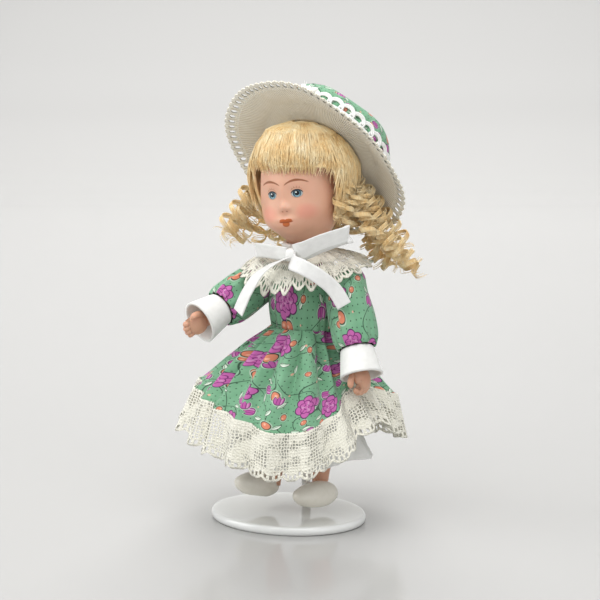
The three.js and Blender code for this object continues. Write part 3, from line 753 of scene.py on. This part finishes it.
def makeArm(word):
    frameOfArm = armFrame(word)
    side = sides[word]

    def sleeveAt(u, v):
        angle = u * turn
        t = 1 - v
        low = max(0, 1 - t * 2.4)
        high = max(0, t * 1.8 - 0.9)
        pucker = 0.5 * math.sin(13 * angle + 1.2 * math.sin(3 * angle)) * (low + high * 0.8)
        crease = 0.35 * math.sin(9 * t + 3 * angle) * bell((t - 0.45) / 0.3)
        radius = ease(sleeve["radii"], t) + pucker + crease
        return frameOfArm @ ringPoint(angle, radius, 0, ease(sleeve["heights"], t))

    cover = cloth(
        word + "Sleeve", 90, 30, sleeveAt, printed, 0.5,
        size=(52, 33), body="arm_" + word, nodes=["sleeve_" + word], slot="print", levels=1,
    )

    def cuffAt(u, v):
        angle = u * turn
        t = 1 - v
        radius = mix(7.7, 5.7, t) + 0.25 * math.sin(2 * angle + 1) * (1 - t)
        if t > 0.94:
            radius -= 0.5
        return frameOfArm @ ringPoint(angle, radius, 0, mix(-33.9, -23.3, t))

    band = cloth(
        word + "Cuff", 72, 16, cuffAt, cotton, 0.9,
        size=(46, 10.6), body="arm_" + word, nodes=["cuff_" + word], slot="cotton",
    )

    bm = bmesh.new()
    profile = [(3.2, 3.2), (3.9, 0), (4.1, -4), (3.5, -14), (3.1, -24), (2.8, -29.5), (2.9, -31.5)]
    points = [(0, 0, z) for _, z in profile]
    radii = [r for r, _ in profile]
    addTube(bm, points, 1, 24, lambda t: ease(radii, t))
    # the palm, then four curled fingers and a thumb
    palm = bmesh.ops.create_uvsphere(bm, u_segments=28, v_segments=18, radius=1)["verts"]
    for vertex in palm:
        x, y, z = vertex.co
        vertex.co = (x * 2.5, y * 4.3, z * 4.6 - 34.6)
    curl = 0.75 if word == "left" else 0.12
    for k, (lengthOf, widthOf) in enumerate(((5.4, 1.15), (5.9, 1.2), (5.6, 1.15), (4.6, 1.05))):
        y = -2.6 + 1.75 * k
        points = []
        for step in range(9):
            t = step / 8
            bend = curl * t * 2.2
            run = lengthOf * t
            inward = -side * (math.sin(bend) * run * 0.62) + side * 0.5
            points.append((inward, y * (1 - 0.1 * t), -36.2 - run * (1 - 0.32 * curl * t) * 0.92))
        addTube(bm, points, widthOf, 12, fingerEnd)
    thumb = []
    for step in range(9):
        t = step / 8
        thumb.append((-side * (1.2 + 1.4 * t), -3.4 - 1.5 * math.sin(t * 2.2), -32.8 - 5.6 * t))
    addTube(bm, thumb, 1.2, 12, fingerEnd)
    bmesh.ops.transform(bm, matrix=frameOfArm, verts=bm.verts)
    bmesh.ops.recalc_face_normals(bm, faces=bm.faces)
    finishPiece(word + "Arm", bm, bisque, "arm_" + word, ["arm_" + word], "bisque")


def makeLeg(word):
    side = sides[word]
    frameOfLeg = legFrame(word)
    bm = bmesh.new()
    profile = [
        (2.8, 4.6), (5.2, 1.6), (5.3, -1), (4.7, -8), (4.1, -16),
        (4.5, -23), (4.3, -28), (3.4, -33), (3.0, -37), (3.0, -40),
    ]
    radii = [r for r, _ in profile]
    heights = [z for _, z in profile]
    points = [(0, 0, ease(heights, k / 30)) for k in range(31)]
    addTube(bm, points, 1, 28, lambda t: ease(radii, t))
    bmesh.ops.transform(bm, matrix=frameOfLeg, verts=bm.verts)
    bmesh.ops.recalc_face_normals(bm, faces=bm.faces)
    finishPiece(word + "Leg", bm, bisque, "leg_" + word, ["leg_" + word], "bisque")

    bm = bmesh.new()
    made = bmesh.ops.create_uvsphere(bm, u_segments=48, v_segments=32, radius=1)["verts"]
    for vertex in made:
        x, y, z = vertex.co
        toe = max(0, -y)
        heel = max(0, y)
        width = 5.3 * (1 + 0.1 * toe - 0.12 * heel)
        height = 5.0 * (1 - 0.22 * toe * (z > 0) + 0.15 * heel * (z > 0))
        down = max(-0.86, z)
        vertex.co = (x * width, y * 9.8, down * height)
    shoe = Matrix.Translation((side * 2.6, -6, 5.2 - doll["legLength"]))
    shoe = shoe @ Matrix.Rotation(math.radians(-17), 4, "Z")
    bmesh.ops.transform(bm, matrix=frameOfLeg @ shoe, verts=bm.verts)
    bmesh.ops.recalc_face_normals(bm, faces=bm.faces)
    finishPiece(word + "Shoe", bm, shoePaint, "leg_" + word)

    def pantaloonAt(u, v):
        angle = u * turn
        t = 1 - v
        radius = 6.0 + 0.25 * math.sin(11 * angle) * (1 - t)
        return frameOfLeg @ ringPoint(angle, radius, 0, mix(-20.8, -5.6, t))

    drawers = cloth(
        word + "Pantaloon", 66, 12, pantaloonAt, cotton, 0.5,
        size=(40, 15.2), body="leg_" + word, nodes=["pantaloon_" + word], slot="cotton",
    )


shoePaint = plainPaint("glossy cream bisque", (0.83, 0.79, 0.69), (0.88, 0.84, 0.75), 0.12)
makeSkirt()
makeBodice()
for word in sides:
    makeArm(word)
    makeLeg(word)
print("dress and limbs ready")

# ---- the collar and the bow
collarShape = {
    "edge": [11.5, 9, 6.5, 3.6, 2.6, 2.4, 2.4, 2.4, 2.6, 3.6, 6.5, 9],
    "reach": [23.5, 24.5, 25, 25, 25, 25, 25, 25, 25, 25, 25, 24.5],
    "inner": 7.0, "top": 100.2, "low": 97.1,
}


def makeCollar():
    length = 210

    def place(u, v):
        angle = u * turn
        reach = around(collarShape["reach"], angle)
        droop = around(collarShape["edge"], angle) * v**2.1
        ruffle = v * (0.75 * math.sin(15 * angle + math.sin(4 * angle)) + 0.3 * math.sin(33 * angle))
        height = mix(collarShape["top"], collarShape["low"], v) - droop + ruffle + 0.5
        return ringPoint(angle, mix(collarShape["inner"], reach, v), doll["y"], height)

    piece = cloth(
        "collarLace", 450, 18, place, collarLace, 0.3,
        size=(length, 18.6), body="doll", nodes=["collar_lace"], slot="lace",
    )


def ribbonPath(points, count):
    return [Vector([ease([p[i] for p in points], k / count) for i in range(3)]) for k in range(count + 1)]


def makeRibbon(name, points, across, width, node, steps, body="doll"):
    path = ribbonPath(points, steps)
    length = sum((b - a).length for a, b in zip(path, path[1:]))
    sideways = ribbonPath(across, steps)

    def place(u, v):
        k = min(steps, round(u * steps))
        along = (path[min(k + 1, steps)] - path[max(k - 1, 0)]).normalized()
        wide = sideways[k] - along * sideways[k].dot(along)
        return path[k] + wide.normalized() * (0.5 - v) * width

    piece = cloth(
        name, steps, 8, place, satin, 0.35, closed=False,
        size=(length, width), body=body, nodes=[node], slot="satin",
    )
    layer = piece.data.uv_layers[0]
    for loop in piece.data.loops:
        u, v = layer.uv[loop.index].vector
        layer.uv[loop.index].vector = (u, v - width / 2)
    return piece


def makeBow():
    knotX = 5
    knotY = doll["y"] - 15.6
    ring = [ringPoint(turn * k / 48, 8.1, doll["y"], 102.1) for k in range(49)]
    bm = bmesh.new()
    addTube(bm, ring, 1.0, 10)
    bmesh.ops.recalc_face_normals(bm, faces=bm.faces)
    finishPiece("neckRibbon", bm, satinPlain, "doll", ["neck_ribbon"], "satin")

    bm = bmesh.new()
    knot = bmesh.ops.create_uvsphere(bm, u_segments=40, v_segments=24, radius=1)["verts"]
    for vertex in knot:
        x, y, z = vertex.co
        crease = 1 + 0.07 * math.sin(9 * x) + 0.05 * math.sin(13 * x + 3 * z)
        square = 1 / max(abs(x), abs(z), 0.6) ** 0.35
        vertex.co = (x * 2.5 * square + knotX, y * 1.7 * crease + knotY, z * 2.6 * square + 100.4)
    bmesh.ops.recalc_face_normals(bm, faces=bm.faces)
    finishPiece("bowKnot", bm, satinPlain, "doll", ["bow_knot"], "satin")

    # each loop runs out along its front and comes back behind it
    up = [(0.2, -0.35, 1), (0.2, -0.35, 1), (0.15, -0.4, 1), (0.2, -0.3, 1), (0.2, -0.3, 1)]
    loop = [
        (7.2, knotY - 0.5, 101.4), (12.5, knotY - 2.6, 103.2), (19, knotY + 0.2, 106.4),
        (25.6, knotY + 5.2, 109), (24.8, knotY + 6.8, 108.6), (18.4, knotY + 2, 105.8),
        (12.5, knotY - 0.6, 103), (7.2, knotY + 0.5, 101.2),
    ]
    makeRibbon("bowLoopLeft", loop, up, 6.7, "bow_loop_left", 90)
    loop = [
        (2.8, knotY - 0.5, 100.6), (-1.6, knotY - 2.4, 101.2), (-6.5, knotY - 2.4, 101.4),
        (-11, knotY - 0.2, 100.8), (-10.4, knotY + 1, 100.6), (-6.5, knotY - 0.8, 101),
        (-1.6, knotY - 1, 100.8), (2.8, knotY + 0.3, 100.4),
    ]
    makeRibbon("bowLoopRight", loop, [(0, -0.3, 1)] * 4, 5.6, "bow_loop_right", 80)
    tail = [
        (6.4, knotY - 1.4, 99.6), (9.6, knotY - 5.4, 98.7), (14, knotY - 5.6, 97.6), (19, knotY - 3, 94.6),
        (23.4, knotY + 1, 89.6), (26.4, knotY + 3.4, 83.4),
    ]
    across = [(0.3, 0.4, 1), (0.35, 0.3, 1), (0.5, 0.4, 0.8), (0.7, 0.5, 0.6), (0.8, 0.6, 0.5)]
    swung = makeRibbon("bowTailLeft", tail, across, 5.6, "bow_tail_left", 70, body=None)
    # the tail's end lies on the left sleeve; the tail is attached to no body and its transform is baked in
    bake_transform(swung)
    tail = [
        (4, knotY - 1.4, 99.4), (1.2, knotY - 6.6, 97.4), (-2.2, knotY - 10.6, 93.6),
        (-6.2, knotY - 12.2, 87), (-9.8, knotY - 12.8, 79.4),
    ]
    across = [(1, -0.1, 0.35), (1, -0.2, 0.3), (1, -0.2, 0.3)]
    makeRibbon("bowTailRight", tail, across, 5.8, "bow_tail_right", 70)


collarLace = lacePaint("collar lace", 1.0, 0.575, edgeAt=18.2, ladder=10.5)
satinPlain = plainPaint("white satin knot", (0.82, 0.82, 0.80), (0.89, 0.89, 0.87), 0.34)
makeCollar()
makeBow()
print("collar and bow ready")

# ---- the head
headShape = {
    "profile": [
        (5.8, 95.4), (5.4, 100), (6.6, 103.6), (9.7, 106.9), (12.5, 110.5), (14.3, 115), (15.1, 120.5),
        (15.2, 126.5), (14.7, 133), (13.1, 139), (10.2, 143.1), (6, 145.4), (0, 146.2),
    ],
    "y": 8.5, "face": 12, "roll": 8, "faceHeight": 119, "widest": 15.2, "eye": 5.1,
}


def headRadius(height):
    profile = headShape["profile"]
    for (r0, z0), (r1, z1) in zip(profile, profile[1:]):
        if height <= z1:
            t = (height - z0) / (z1 - z0)
            return mix(r0, r1, min(1, max(0, t)))
    return 0


def headPlace(angle, radius, height):
    # the skull: fuller at the cheeks, the chin forward, the axis leaning back from the neck
    front = max(0, math.cos(angle)) * radius / headShape["widest"]
    rear = max(0, -math.cos(angle)) * radius / headShape["widest"]
    chin = bell((height - 109.5) / 4.5)
    cheek = bell((height - 115.5) / 6)
    y = -radius * math.cos(angle) * (1 + 0.28 * chin * front + 0.06 * rear)
    x = radius * math.sin(angle) * (1 + 0.05 * cheek * front)
    return Vector((x, y + mix(doll["y"], headShape["y"], smooth((height - 100) / 11.5)), height))


def faceFrame():
    turnFace = Matrix.Rotation(math.radians(headShape["face"]), 4, "Z")
    rollFace = Matrix.Rotation(math.radians(-headShape["roll"]), 4, "Y")
    return Matrix.Translation((0, headShape["y"], headShape["faceHeight"])) @ turnFace @ rollFace


def makeHead():
    profile = headShape["profile"]
    radii = [r for r, _ in profile]
    heights = [z for _, z in profile]
    bm = bmesh.new()
    bmesh.ops.create_grid(bm, x_segments=160, y_segments=110, size=0.5)
    outOfFace = faceFrame()
    intoFace = outOfFace.inverted()
    for vertex in bm.verts:
        angle = (vertex.co.x + 0.5) * turn
        t = vertex.co.y + 0.5
        height = ease(heights, t)
        place = headPlace(angle, max(0.001, ease(radii, t)), height)
        x, y, z = intoFace @ place
        if y < 2:
            depth = 0
            # brow, bridge, eye hollows, nose, lips, chin and cheeks
            depth += 0.45 * bell(x / 8, (z - 8.4) / 2.6)
            for eye in (-headShape["eye"], headShape["eye"]):
                depth -= 0.75 * bell((x - eye) / 2.7, (z - 3.7) / 2.2)
                depth += 0.35 * bell((x - eye) / 1.9, (z - 3.5) / 1.3)
                depth += 0.7 * bell((x - eye * 1.25) / 4.2, (z + 3.6) / 3.6)
            depth += 0.75 * bell(x / 1.3, (z - 3) / 3.6)
            depth += 1.75 * bell(x / 1.75, (z + 0.9) / 1.7)
            for wing in (-1.5, 1.5):
                depth += 0.5 * bell((x - wing) / 0.9, (z + 1.6) / 0.9)
                depth -= 0.3 * bell((x - wing * 0.55) / 0.45, (z + 2.5) / 0.4)
            depth -= 0.35 * bell(x / 0.7, (z + 4.1) / 1.0)
            depth += 0.95 * bell(x / 3.0, (z + 5.6) / 1.2)
            depth += 0.75 * bell(x / 2.0, (z + 7.6) / 1.1)
            depth -= 0.4 * bell(x / 2.4, (z + 6.45) / 0.35)
            depth -= 0.45 * bell(x / 2.6, (z + 9.3) / 0.9)
            depth += 0.7 * bell(x / 2.6, (z + 11.4) / 1.9)
            y -= depth * min(1, (2 - y) / 6)
        vertex.co = outOfFace @ Vector((x, y, z))
    layer = bm.loops.layers.uv.new("UVMap")
    for face in bm.faces:
        inside = intoFace @ face.calc_center_median()
        for loop in face.loops:
            x, y, z = intoFace @ loop.vert.co
            away = 0 if inside.y < -3 else 90
            loop[layer].uv = (x + away, z)
    bmesh.ops.remove_doubles(bm, verts=bm.verts, dist=0.02)
    holes = [edge for edge in bm.edges if len(edge.link_faces) == 1]
    bmesh.ops.holes_fill(bm, edges=holes, sides=0)
    bmesh.ops.recalc_face_normals(bm, faces=bm.faces)
    finishPiece("faceBisque", bm, facePaint(), "head", ["head"], "bisque")


def facePaint():
    paint = Paint("painted face", roughness=0.4, specular=0.4, skin=0.12, skinScale=0.004)
    uv = paint.place()
    x, z, _ = paint.split(uv)
    place = paint.place("Object")
    cloud = paint.noise(place, 120, 3.0)
    colour = paint.ramp(cloud, [(0.3, (0.70, 0.385, 0.265)), (0.7, (0.76, 0.44, 0.31))])

    def oval(cx, cz, rx, rz):
        return ((x - cx) / rx).power(2) + ((z - cz) / rz).power(2)

    def paintOn(mask, tint):
        nonlocal colour
        colour = paint.mix(mask, colour, tint)

    for cx in (-7.2, 7.4):
        paintOn(oval(cx, -3.2, 4.6, 3.8).below(0.5, 0.5) * 0.5, (0.76, 0.27, 0.20))
    wobble = (paint.noise(uv, 1.3, 1.0) - 0.5) * 0.3
    rise = 3.6
    for eye in (-headShape["eye"], headShape["eye"]):
        open_ = oval(eye, rise, 1.95, 1.35)
        paintOn(oval(eye, rise - 0.1, 2.15, 1.55).below(1.0, 0.12) * 0.5, (0.42, 0.2, 0.13))
        paintOn(open_.below(1.0, 0.14), (0.40, 0.50, 0.52))
        inside = open_.below(1.0, 0.1)
        paintOn(oval(eye, rise + 0.1, 1.5, 1.5).below(1.0, 0.1) * inside, (0.012, 0.02, 0.03))
        paintOn(oval(eye + 0.05, rise - 0.1, 1.22, 1.28).below(1.0, 0.16) * inside, (0.09, 0.19, 0.25))
        paintOn(oval(eye + 0.1, rise - 0.75, 0.8, 0.5).below(1.0, 0.3) * inside * 0.8, (0.26, 0.42, 0.46))
        paintOn(oval(eye, rise + 0.2, 0.85, 0.9).below(1.0, 0.14), (0.004, 0.004, 0.006))
        paintOn(oval(eye - 0.3, rise + 0.5, 0.27, 0.27).below(1.0, 0.3), (0.9, 0.92, 0.92))
        # the painted lid line, thick over the middle, and short lashes over it
        lid = (oval(eye, rise - 0.15, 2.1, 1.62).power(0.5) - 1.0).abs() * 1.8
        above = z.above(rise + 0.35, 0.3)
        paintOn(lid.below(0.2, 0.1) * above, (0.03, 0.025, 0.03))
        crease = (oval(eye, rise - 0.2, 2.5, 2.5).power(0.5) - 1.0).abs() * 2.3
        paintOn(crease.below(0.14, 0.12) * z.above(rise + 1.2, 0.5) * 0.45, (0.42, 0.17, 0.1))
        spread = ((x - eye) * (1.0 - (z - rise) * 0.16) * (turn / 0.62)).sin()
        far = oval(eye, rise - 0.2, 2.1, 1.75).power(0.5)
        lashes = spread.above(0.75, 0.2) * far.above(1.22, 0.06) * far.below(1.72, 0.12)
        lashes = lashes * z.above(rise + 1.2, 0.3)
        lashes = lashes * (x - eye).abs().below(1.7, 0.3)
        paintOn(lashes * 0.55, (0.36, 0.15, 0.09))
        # the brow, a thin arc that tapers outward
        out = (x - eye) * (1 if eye > 0 else -1)
        arch = 8.6 - (out - 0.4).power(2) * 0.075
        taper = 0.46 - (out - 0.2).abs() * 0.055
        brow = (z - arch + wobble * 0.4).abs().below(taper, 0.14) * (out - 0.2).abs().below(4.2, 0.5)
        paintOn(brow * 0.9, (0.26, 0.085, 0.03))
    # the lips: a bowed upper one, a full lower one and the line between them
    bowed = [oval(cx, -5.75, 1.35, 0.62).below(1.0, 0.2) for cx in (-1.05, 1.05)]
    upper = bowed[0].most(bowed[1])
    upper = upper.most(oval(0.0, -6.2, 2.6, 0.5).below(1.0, 0.25))
    lower = oval(0.0, -7.0, 1.35, 1.15).below(1.0, 0.2)
    paintOn(upper.most(lower) * 0.95, (0.46, 0.10, 0.014))
    paintOn(oval(0.1, -7.2, 0.7, 0.4).below(1.0, 0.6) * 0.4, (0.52, 0.16, 0.045))
    line = (z + 6.4 + (x * 1.2).cos() * 0.08).abs().below(0.1, 0.1) * x.abs().below(2.3, 0.2)
    paintOn(line * 0.7, (0.16, 0.03, 0.01))
    for wing in (-0.85, 0.85):
        paintOn(oval(wing, -2.5, 0.42, 0.26).below(1.0, 0.4) * 0.6, (0.34, 0.10, 0.06))
    paint.set(color=colour)
    paint.bump(paint.noise(place, 900, 2.0), 0.15, 0.00004)
    return paint.material


makeHead()
print("head ready")

# ---- the hair
hairShape = {"thick": 2.4, "strand": 0.12}


def hairPlace(angle, height, lift=0.0):
    # fuller behind the temples, where the hair fills the hat's opening
    side = smooth((math.degrees(abs(math.atan2(math.sin(angle), math.cos(angle)))) - 48) / 30)
    full = 3.6 * side * bell((height - 131) / 12)
    radius = headRadius(min(height, 146)) + hairShape["thick"] + full + lift
    raised = 1.6 if height > 143 else 0.8 * smooth((height - 134) / 10)
    return headPlace(angle, max(0.2, radius), height + raised)


def addStrands(name, lines, thick, body, material=None, nodes=(), slot=None):
    data = bpy.data.curves.new(name, "CURVE")
    data.dimensions = "3D"
    data.bevel_depth = thick * mm
    data.bevel_resolution = 0
    data.use_fill_caps = True
    for line in lines:
        spline = data.splines.new("POLY")
        spline.points.add(len(line) - 1)
        for k, point in enumerate(line):
            spline.points[k].co = (*(Vector(point) * mm), 1)
            edge = min(k, len(line) - 1 - k) / (len(line) - 1)
            spline.points[k].radius = min(1, 0.35 + 5 * edge)
    data.materials.append(material or hair)
    return attach(bpy.data.objects.new(name, data), body, nodes, slot)


def makeCap():
    bm = bmesh.new()
    bmesh.ops.create_grid(bm, x_segments=96, y_segments=40, size=0.5)
    for vertex in bm.verts:
        angle = (vertex.co.x + 0.5) * turn
        t = vertex.co.y + 0.5
        height = mix(hairEnd(angle) + 1.5, 146.5, t)
        vertex.co = hairPlace(angle, height, -0.9) if t < 0.999 else Vector((0, headShape["y"], 148.2))
    bmesh.ops.remove_doubles(bm, verts=bm.verts, dist=0.05)
    bmesh.ops.recalc_face_normals(bm, faces=bm.faces)
    piece = finishPiece("hairCap", bm, hair, "head", ["wig_cap"], "hair")
    solid = piece.modifiers.new("thickness", "SOLIDIFY")
    solid.thickness = 1.2 * mm
    solid.offset = -1


def hairEnd(angle):
    # how low the hair comes at each angle from the front
    away = math.degrees(math.atan2(math.sin(angle - 0.2), math.cos(angle - 0.2)))
    side = smooth((abs(away) - (58 if away > 0 else 72)) / 20)
    return mix(131.4, 112, side)


def makeStrands():
    dice = random.Random(7)
    lines = []
    for k in range(1500):
        angle = turn * (k + dice.random()) / 1500
        low = hairEnd(angle) + dice.triangular(-2.4, 3.2, 0)
        lift = dice.uniform(-0.35, 0.45)
        swing = dice.uniform(-0.06, 0.06)
        bend = dice.uniform(0, turn)
        waves = 0.05 if low > 125 else 0.085
        line = []
        for step in range(15):
            t = step / 14
            height = mix(146.4, low, t**0.8)
            drift = swing * t + waves * math.sin(bend + 5 * t) * t
            tip = -1.7 * smooth((t - 0.6) / 0.4) if low > 125 else 0.8 * smooth((t - 0.5) / 0.5)
            line.append(hairPlace(angle + drift, height, lift + tip))
        lines.append(line)
    addStrands("combedHair", lines, hairShape["strand"], "head", nodes=["fringe"], slot="hair")


# name, then the angle from the front, height and reach of each ringlet's top and of its end
ringlets = [
    ("ringlet_left_1", 82, 124, 22, 84, 111, 22), ("ringlet_left_2", 98, 121, 23.5, 103, 105, 31),
    ("ringlet_left_3", 114, 123, 23.5, 114, 96, 39), ("ringlet_left_4", 136, 113, 18, 138, 104.6, 20),
    ("ringlet_left_5", 129, 110, 25, 129, 89, 44), ("ringlet_left_6", 147, 101, 27, 147, 90, 34.5),
    ("ringlet_back_1", 158, 113, 15.4, 157, 104.6, 16.8), ("ringlet_back_2", 180, 113, 15.4, 180, 104.6, 16.8),
    ("ringlet_back_3", 202, 113, 15.4, 203, 104.6, 16.8), ("ringlet_right_1", 278, 124, 22, 285, 102, 34),
    ("ringlet_right_2", 262, 121, 23.5, 270, 97, 35.5), ("ringlet_right_3", 246, 122, 23.5, 246, 96, 40),
    ("ringlet_right_4", 224, 113, 18, 222, 104.6, 20), ("ringlet_right_5", 231, 110, 24.5, 231, 95, 37),
]
# how far each coil of a ringlet swings, draws in and rises; the last is a few stray hairs
lockSpread = ((0, 0, 0), (-8, -1.5, 2.5), (8, 0, 3.5), (3, -3, 1))


def coil(dice, start, end, radius, pitch, hand, loose):
    # one spiral lock: a band of strands wound round a wandering line, or a few stray hairs
    axis = end - start
    length = axis.length
    along = axis.normalized()
    one = along.orthogonal().normalized()
    two = along.cross(one)
    phase = dice.uniform(0, turn)
    sag = dice.uniform(0.2, 1.2)
    wander = dice.uniform(0, turn)
    lines = []
    winds = length / pitch
    steps = max(16, int(winds * 14))
    for strand in range(5 if loose else 16):
        shift = dice.uniform(-2, 2) if loose else (strand - 7.5) * 0.11 + dice.uniform(-0.16, 0.16)
        depth = dice.uniform(-0.6, 0.9) if loose else dice.uniform(-0.22, 0.22)
        own = dice.uniform(-2, 2) if loose else dice.uniform(-0.08, 0.08)
        line = []
        first = dice.uniform(0, 0.06)
        last = dice.uniform(0.84, 1)
        for k in range(steps + 1):
            t = mix(first, last, k / steps)
            grow = radius * (0.35 + 0.65 * smooth(t * 3.5))
            grow = grow * (1 - 0.3 * smooth((t - 0.75) / 0.25)) + depth
            angle = hand * turn * winds * t + phase + own
            sway = 0.7 * math.sin(5 * t + wander) * t
            middle = start + axis * t - Vector((0, 0, sag * math.sin(math.pi * t))) + one * sway
            spread = one * math.cos(angle) + two * math.sin(angle)
            line.append(middle + spread * grow + along * shift)
        lines.append(line)
    return lines


def makeRinglets():
    dice = random.Random(21)
    for name, topAngle, topHeight, topReach, lowAngle, lowHeight, lowReach in ringlets:
        lines = []
        hand = dice.choice((-1, 1))
        for extra, (swing, shrink, raised) in enumerate(lockSpread):
            swing += dice.uniform(-2, 2)
            topAt = math.radians(topAngle + swing * 0.7)
            top = ringPoint(topAt, topReach - 3.0 + shrink * 0.5, doll["y"], topHeight + 2 + extra)
            reach = lowReach + shrink + dice.uniform(-0.6, 0.4)
            low = ringPoint(math.radians(lowAngle + swing), reach, doll["y"], lowHeight + raised)
            lines += coil(dice, top, low, dice.uniform(2.4, 3.3), dice.uniform(4.8, 6.6), hand, extra == 3)
        pretty = "".join(part.capitalize() for part in name.split("_"))
        addStrands("lock" + pretty[7:], lines, hairShape["strand"], "head", nodes=[name], slot="hair")


makeCap()
makeStrands()
makeRinglets()
print("hair ready")

# ---- the hat
hatShape = {
    "centre": (1, 15, 133), "tilt": 55, "inner": 23.3,
    "outline": [38, 36, 34, 36, 38, 37, 35, 36, 37, 38, 38, 38],
    "brimLength": 234, "brimWidth": 20.6, "crownReach": 34, "loops": 33, "cord": 0.42,
}


def hatFrame():
    tilt = Matrix.Rotation(math.radians(-hatShape["tilt"]), 4, "X")
    return Matrix.Translation(hatShape["centre"]) @ tilt


def brimPaint():
    paint = Paint("ribbed ivory ribbon", roughness=0.62, sheen=0.3, specular=0.3)
    uv = paint.place()
    along, across, _ = paint.split(uv)
    cloud = paint.noise(uv, 0.25, 3.0)
    ribs = (along * (turn / 1.17)).sin()
    ground = paint.ramp(cloud, [(0.3, (0.86, 0.82, 0.70)), (0.7, (0.92, 0.89, 0.79))])
    # the troughs between the ribs are mixed towards a darker beige: painted shade in the grooves
    colour = paint.mix(ribs.below(-0.3, 0.5) * 0.6, ground, (0.55, 0.49, 0.35))
    # slots near the scalloped edge, each ringed with a raised thread
    slot = paint.make("ShaderNodeMath", {"operation": "PINGPONG"}, {0: along, 1: 1.5})
    hole = ((slot - 1.5) / 0.78).power(2) + ((across - 18.3) / 1.05).power(2)
    alpha = hole.above(1.0, 0.1)
    rim = (hole.power(0.5) - 1.4).abs()
    colour = paint.mix(rim.below(0.3, 0.1), colour, (0.86, 0.84, 0.75))
    stitch = (across - 16.2).abs().below(0.22, 0.08)
    colour = paint.mix(stitch, colour, (0.87, 0.85, 0.76))
    paint.set(color=colour, alpha=alpha)
    paint.bump(ribs * 0.8 * across.below(16.0, 0.1) + rim.below(0.4, 0.2) * 2 + stitch, 0.7, 0.0002)
    return paint.material


def makeBrim():
    place = hatFrame()
    length = hatShape["brimLength"]
    wide = hatShape["brimWidth"]

    def at(u, v):
        angle = u * turn
        edge = around(hatShape["outline"], angle)
        scallop = 0.75 * abs(math.sin(math.pi * u * length / 3))
        t = max(0, v * 1.35 - 0.35)
        inner = mix(16.6 - 1.6 * max(0, math.cos(angle)), hatShape["inner"], min(1, v * 3.85))
        radius = mix(inner, edge - 0.6 + scallop * v**8, t)
        height = mix(5, -0.6, t) + 0.5 * t * math.sin(7 * angle) - 0.4 * bell(v / 0.1)
        return place @ ringPoint(angle, radius, 0, height)

    piece = cloth(
        "brimRibbon", 936, 20, at, brimPaint(), 0.45,
        size=(length, wide), body="head", nodes=["hat_brim"], slot="brim_ribbon",
    )


def makeCrown():
    place = hatFrame()
    radii = [24.6, 25.3, 25.2, 23.6, 20, 14.5, 8, 0.2]
    heights = [5.9, 8.5, 11.5, 14.8, 17, 18, 18.3, 18.4]

    def at(u, v):
        angle = u * turn
        t = 1 - v
        low = max(0, 1 - t * 2.2)
        pucker = 0.5 * math.sin(34 * angle + 2 * math.sin(5 * angle)) * low
        dent = 0.6 * math.sin(5 * angle + 1) * bell((t - 0.5) / 0.25)
        radius = max(0.01, ease(radii, t) + (pucker + dent) * min(1, (1 - t) * 5))
        return place @ ringPoint(angle, radius, 0, ease(heights, t) + dent * 0.5)

    piece = cloth(
        "crownCloth", 240, 40, at, printed, 0.5, body="head", nodes=["hat_crown"], slot="print",
    )
    layer = piece.data.uv_layers[0]
    for loop in piece.data.loops:
        u, v = layer.uv[loop.index].vector
        reach = hatShape["crownReach"] * v
        layer.uv[loop.index].vector = (reach * math.sin(u * turn) + 60, -reach * math.cos(u * turn))


def makeTrim():
    # looped braid: a cord that rolls round the crown, a smaller roll inside it and two straight cords
    place = hatFrame()
    loops = hatShape["loops"]
    rolled = []
    for k in range(loops * 26 + 1):
        t = k / 26
        swing = turn * t
        angle = (t + 0.36 * math.sin(swing)) / loops * turn
        height = 8.0 + 1.9 * math.cos(swing)
        lift = 26.1 + 0.35 * math.sin(swing + 1)
        rolled.append(place @ ringPoint(angle, lift, 0, height))
    inner = []
    for k in range(loops * 20 + 1):
        t = k / 20
        swing = turn * t
        angle = (t + 0.17 * math.sin(swing)) / loops * turn
        height = 8.2 + 0.95 * math.cos(swing)
        inner.append(place @ ringPoint(angle, 26.2, 0, height))
    foot = [place @ ringPoint(turn * k / 160, 26.0, 0, 6.3) for k in range(161)]
    lower = [place @ ringPoint(turn * k / 160, 26.3, 0, 5.5) for k in range(161)]
    bm = bmesh.new()
    for line in (rolled, inner, foot, lower):
        addTube(bm, line, hatShape["cord"], 8)
    finishPiece("crownBraid", bm, braid, "head", ["hat_trim"], "braid")


def makeTie():
    place = hatFrame() @ Matrix.Rotation(math.radians(12), 4, "Z")
    bm = bmesh.new()
    for dx, dz, lean in ((-1.9, 0.6, 0.6), (1.9, 0.4, -0.5), (0, 0, 1.4)):
        made = bmesh.ops.create_uvsphere(bm, u_segments=20, v_segments=12, radius=1)["verts"]
        shape = Matrix.Translation((dx, -30.6, 5.3 + dz)) @ Matrix.Rotation(lean, 4, "Y")
        shape = shape @ Matrix.Diagonal((2.0, 0.8, 1.0, 1))
        bmesh.ops.transform(bm, matrix=place @ shape, verts=made)
    bmesh.ops.recalc_face_normals(bm, faces=bm.faces)
    finishPiece("hatTie", bm, satinPlain, "head", ["hat_tie"], "satin")
    dice = random.Random(4)
    lines = []
    for k in range(26):
        start = Vector((dice.uniform(-2.4, 2.4), -30.6, 6))
        end = start + Vector((dice.uniform(-2, 2), dice.uniform(-1.4, 0.6), dice.uniform(0.8, 2.6)))
        lines.append([place @ start, place @ start.lerp(end, 0.5), place @ end])
    addStrands("hatTieFray", lines, 0.08, "head", satinPlain)


braid = plainPaint("white braid", (0.80, 0.80, 0.78), (0.90, 0.90, 0.885), 0.6)
makeCrown()
makeBrim()
makeTrim()
makeTie()
print("hat ready")
